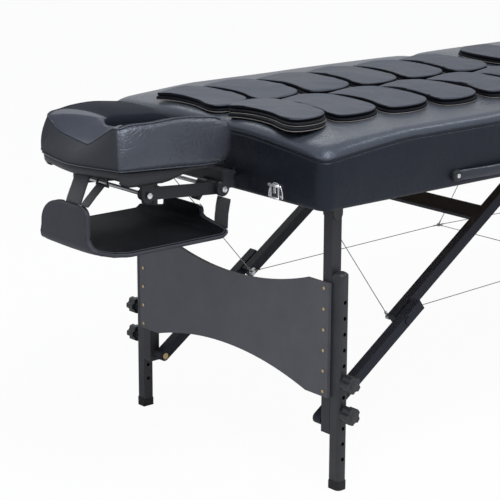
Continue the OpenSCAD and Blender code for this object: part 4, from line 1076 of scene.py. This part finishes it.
# the lit and shaded copies are given out by ring and row: painted light on the front's top, painted shade elsewhere
# inside
for k, face in enumerate(cushion.data.polygons):
    station, row = divmod(k, around)
    if station >= last:
        continue
    if row < wall_steps - 1:
        face.material_index = int(near_seam <= station < far_seam)
    else:
        face.material_index = 2 if near_seam <= station < far_seam + 2 and row < wall_steps + top_steps - 1 else 3
piping = [tube("seam_piping", [p + Vector((0, 0, 0.0006)) for p in seam_line[2:-2]], 0.0013, cradle_leather, 6)]
for i in (near_seam, far_seam):
    piping.append(tube("corner_piping", [cushion_rings[i][k] for k in range(wall_steps)], 0.0012, cradle_leather, 6))
piping.append(tube("foot_piping", [ring[0] for ring in cushion_rings[2:-2]], 0.0012, cradle_leather, 6))
cradle_piping = joined(piping, "cradle_piping")
for piece in (cushion, cradle_piping):
    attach(piece, "cradle_cushion")
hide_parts("cradle_cushion")


# Platform rim
# The black moulded platform has a shallow turned-down lip under the cushion's outer edge, which hides its
# ribs. It is one piece with the platform and follows the line of the cushion's foot.
rim_depth = [(0.99, 0.004), (1.06, 0.014), (1.14, 0.033), (1.215, 0.036), (1.25, 0.020)]
# distance in from the cushion's foot and share of the depth: down the outer face, round the lip and back up
rim_section = [(0.005, 0.0), (0.0053, 0.45), (0.0072, 0.8), (0.011, 0.96), (0.017, 1.0), (0.017, 0.94),
               (0.0125, 0.9), (0.0096, 0.72), (0.0078, 0.42), (0.0075, 0.0)]
rim_rings = []
for i in range(3, last - 2):
    out = outward_at(i)
    deep = between(-stations[i].x, rim_depth)
    ring = []
    for inset, down in rim_section:
        p = stations[i] - out * inset
        ring.append(sloped(p.x, p.y, foot_line[i] + 0.0008 - deep * down))
    rim_rings.append(ring)
rim = stacked_rings(rim_rings, platform_plastic, "platform_rim")
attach(rim, "cradle_platform")


# Arm sling
# A padded leather tray for the forearms, with a flap turned up at its front and back. It is one long panel,
# its inside face a much darker leather, and a binding is sewn round its edges.
sling_low, sling_thick = 0.510, 0.016
sling_front, sling_back = -1.276, -0.971
front_curve, back_curve = 0.021, 0.026
flap_top_z, back_top_z, flap_steps = 0.603, 0.563, 16
back_half_width, back_round = 0.062, 0.012


def sling_path():
    """The middle of the tray in section, from the front flap's top down, along and up the back flap."""
    made = []
    mid = sling_thick / 2
    x0, x1, z0 = sling_front + mid, sling_back - mid, sling_low + mid
    r0, r1 = front_curve - mid, back_curve - mid
    for k in range(flap_steps):
        made.append(Vector((x0, 0, flap_top_z - (flap_top_z - z0 - r0) * (k / flap_steps) ** 1.7)))
    for k in range(9):
        a = math.pi / 2 * k / 9
        made.append(Vector((x0 + r0 - r0 * math.cos(a), 0, z0 + r0 - r0 * math.sin(a))))
    for k in range(26):
        made.append(Vector((x0 + r0 + (x1 - r1 - x0 - r0) * k / 26, 0, z0)))
    for k in range(7):
        a = math.pi / 2 * k / 7
        made.append(Vector((x1 - r1 + r1 * math.sin(a), 0, z0 + r1 - r1 * math.cos(a))))
    for k in range(7):
        made.append(Vector((x1, 0, z0 + r1 + (back_top_z - z0 - r1) * k / 6)))
    return made


# half widths of the curl by height, then of the tray by its distance from the front
curl_near = [(0.512, 0.104), (0.527, 0.086), (0.54, 0.077)]
curl_far = [(0.512, 0.094), (0.530, 0.083), (0.549, 0.079)]
tray_half = [(0.010, 0.106), (0.026, 0.134), (0.050, 0.147)]


def flap_half(z, far):
    """The flap's half width: a wide dome on its far side, a rounded corner on its near side."""
    wide = between(z, curl_far if far else curl_near)
    start = 0.553 if far else 0.584
    rise = min(1, max(0, (z - start) / (flap_top_z - start)))
    round_off = math.sqrt(1 - rise * rise)
    return wide * (0.12 + 0.88 * round_off) if far else wide - 0.024 * (1 - round_off)


path = sling_path()
sling_rings, sling_faces, sling_edges, sides = [], [], {-1: [], 1: []}, 40
for i, p in enumerate(path):
    before, after = path[max(i - 1, 0)], path[min(i + 1, len(path) - 1)]
    along = (after - before).normalized()
    inward = Vector((-along.z, 0, along.x))
    if p.x < path[0].x + 0.010:
        near_w, far_w = flap_half(p.z, False), flap_half(p.z, True)
    elif i < flap_steps + 32:
        near_w = between(p.x - path[0].x, tray_half)
        far_w = near_w - 0.008 * between(p.x - path[0].x, [(0.010, 1.0), (0.05, 0.0)])
    else:
        rounded = back_round * (1 - math.sqrt(max(0, 1 - (1 - min(1, (back_top_z - p.z) / back_round)) ** 2)))
        flare = 0.085 * (1 - between(p.z - sling_low, [(0.016, 0.0), (0.034, 1.0)]))
        near_w = far_w = back_half_width - rounded + flare
    ends = min(i, len(path) - 1 - i)
    thin = (0.35, 0.75, 0.95, 1.0)[min(ends, 3)]
    ring = []
    for across, up in oval(sides, 0.55, 0.5):
        y = (far_w if across > 0 else near_w) * across
        sag = 0.003 * (1 - across ** 2) * (1 if flap_steps + 8 < i < flap_steps + 36 else 0)
        lumps = ripple(p.x * 1.2, y, p.z * 1.2, 0.055, 0.0014) if up > 0 else ripple(p.x, y, 2.0, 0.08, 0.0008)
        raised = up * (sling_thick / 2 - 0.0004) * thin + lumps * (1 - abs(across) ** 8)
        ring.append(Vector((fold_x + p.x, y, p.z)) + inward * raised - Vector((0, 0, sag)))
    sling_rings.append(ring)
    sling_faces.append(inward)
    for s in (-1, 1):
        sling_edges[s].append(Vector((fold_x + p.x, s * (far_w if s > 0 else near_w), p.z)))
sling_leather = leather("sling_leather", (0.064, 0.067, 0.077, 1), 0.52, creases=0.0002, waves=0.002, gloss=0.2)
tray = stacked_rings(sling_rings, sling_leather, "arm_tray")
# the inside face takes a much darker, duller leather
tray_lining = leather("tray_lining", (0.005, 0.0055, 0.0075, 1), 0.6, creases=0.0001, waves=0.002, gloss=0.1)
tray.data.materials.append(tray_lining)
for k, face in enumerate(tray.data.polygons):
    if k < sides * (len(path) - 1):
        face.material_index = int(1 <= k % sides < sides / 2 - 1)
binding = []
for s in (-1, 1):
    for lift in (-0.0045, 0.0045):
        line = []
        for p, face in zip(sling_edges[s], sling_faces):
            line.append(p + face * lift + Vector((0, 0.0004 * s - 0.035 * p.y, 0)))
        binding.append(tube("tray_binding", line, 0.0011, sling_leather, 6))
tray_binding = joined(binding, "arm_tray_binding")
for piece in (tray, tray_binding):
    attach(piece, "cradle_arms")
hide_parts("arm_sling")


# Sling straps and buckle
# Flat woven straps carry the tray: two from the cradle's hubs at the back, a wide one and a narrow one from
# the front flap up to the platform, where the narrow one passes through a triangular buckle.
def webbing(name, tone, pitch=0.0016):
    """Woven strap with its threads this pitch apart, fuzzy, with painted shade between them."""
    made, tree, shader, place = new_material(name)
    waves = [put(tree, "ShaderNodeTexWave", {"Vector": place, "Scale": 1 / (pitch * 6.28) * 2},
                 bands_direction=way).outputs["Fac"] for way in ("Y", "DIAGONAL")]
    weave = maths(tree, "MULTIPLY", waves[0], waves[1])
    fuzz = maths(tree, "MULTIPLY", clouds(tree, place, 600.0, 3.0), 0.3)
    # the weave darkens the colour between the threads: painted shade
    shade(tree, shader, Base_Color=blend_colors(tree, weave, toned(tone, 0.45), tone), Roughness=0.72,
          Normal=relief(tree, maths(tree, "ADD", weave, fuzz), 0.0003), Sheen_Weight=0.25, Sheen_Roughness=0.5)
    return made


strap_web = webbing("strap_webbing", (0.03, 0.032, 0.041, 1))


def flat_strap(name, start, end, width, thick=0.0026, bow=0.002):
    """A strap with rounded edges and sewn laps at both ends. Its width lies across the table."""
    along = end - start
    face = along.cross(Vector((0, 1, 0))).normalized()
    rings, steps = [], 22
    for i in range(steps + 1):
        t = i / steps
        lap_t = min(t, 1 - t) * along.length
        fat = thick * (1.5 if 0.004 < lap_t < 0.026 else 1.0) * (0.6 if lap_t < 0.001 else 1)
        p = start + along * t + face * bow * math.sin(math.pi * t)
        rings.append([p + Vector((0, across * width / 2, 0)) + face * up * fat / 2
                      for across, up in oval(16, 0.35, 0.7)])
    return stacked_rings(rings, strap_web, name)


rear_low, rear_high = Vector((fold_x - 0.979, 0, 0.5304)), Vector((fold_x - 0.971, 0, low_pin - 0.0153))
rear_straps, hub_y, wide_y, narrow_y = [], 0.122, -0.027, -0.064
for side in (-hub_y, hub_y):
    across = Vector((0, side, 0))
    rear_straps.append(flat_strap("rear_strap", rear_low + across, rear_high + across, 0.042))
rear = joined(rear_straps, "rear_sling_straps")
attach(rear, "cradle_arms")
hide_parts("sling_straps")
strap_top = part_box("front_straps")[1]
flap_top = Vector((fold_x - 1.268, 0, 0.6048))
wide_top = Vector((strap_top.x - 0.001, -0.016, strap_top.z - 0.002))
narrow_top = Vector((fold_x - 1.2275, narrow_y, 0.6419))
front = joined([flat_strap("wide_strap", flap_top + Vector((0, wide_y, 0)), wide_top, 0.050, 0.003, 0.0005),
                flat_strap("narrow_strap", flap_top + Vector((0, narrow_y, 0)), narrow_top, 0.026, 0.0026, 0.0005)],
               "front_sling_straps")
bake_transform(front)
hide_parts("front_straps")
dress(black_plastic, "sling_buckle")


# Floor, backdrop and studio light
# A plain pale floor under a white surround. A wide soft lamp hangs over the near side, a weaker one behind the
# table and a small one off the foot end.
bpy.ops.mesh.primitive_plane_add(size=30, location=(0, 0, 0))
floor = bpy.context.object
floor.name = "studio_floor"
floor_paint, tree, shader, place = new_material("studio_floor")
output = next(n for n in tree.nodes if n.type == "OUTPUT_MATERIAL")
shade(tree, shader, Base_Color=(0.86, 0.86, 0.86, 1), Roughness=0.9)
glow = put(tree, "ShaderNodeEmission", {"Color": (1, 1, 1, 1), "Strength": 1.0})
rays = put(tree, "ShaderNodeLightPath").outputs
lit = maths(tree, "MULTIPLY", rays["Is Camera Ray"], 0.95)
both = put(tree, "ShaderNodeMixShader", {0: lit, 1: shader.outputs[0], 2: glow.outputs[0]})
tree.links.new(both.outputs[0], output.inputs[0])
floor.data.materials.append(floor_paint)

world = bpy.data.worlds.new("studio")
world.use_nodes = True
bpy.context.scene.world = world
tree = world.node_tree
background = next(n for n in tree.nodes if n.type == "BACKGROUND")
rays = put(tree, "ShaderNodeLightPath").outputs
mirrored_sky = maths(tree, "MULTIPLY", rays["Is Glossy Ray"], 0.45)
seen = maths(tree, "MAXIMUM", rays["Is Camera Ray"], maths(tree, "MAXIMUM", mirrored_sky, rays["Is Transmission Ray"]))
feed(tree, background.inputs["Color"], blend_colors(tree, seen, (0.40, 0.42, 0.46, 1), (1, 1, 1, 1)))


def soft_lamp(name, place, aim, size, watts):
    bpy.ops.object.light_add(type="AREA", location=place)
    lamp = bpy.context.object
    lamp.name = name
    lamp.data.shape, lamp.data.size, lamp.data.energy = "DISK", size, watts
    lamp.rotation_euler = (Vector(aim) - Vector(place)).to_track_quat("-Z", "Y").to_euler()


soft_lamp("key_lamp", (-1.4, -1.9, 3.3), (-0.4, 0, 0.6), 2.4, 85)
soft_lamp("back_lamp", (0.8, 2.2, 3.4), (-0.2, 0, 0.6), 2.4, 20)
soft_lamp("side_lamp", (1.7, -1.2, 2.7), (-0.5, -0.35, 0.7), 0.8, 16)

bpy.context.scene.view_settings.view_transform = "Standard"
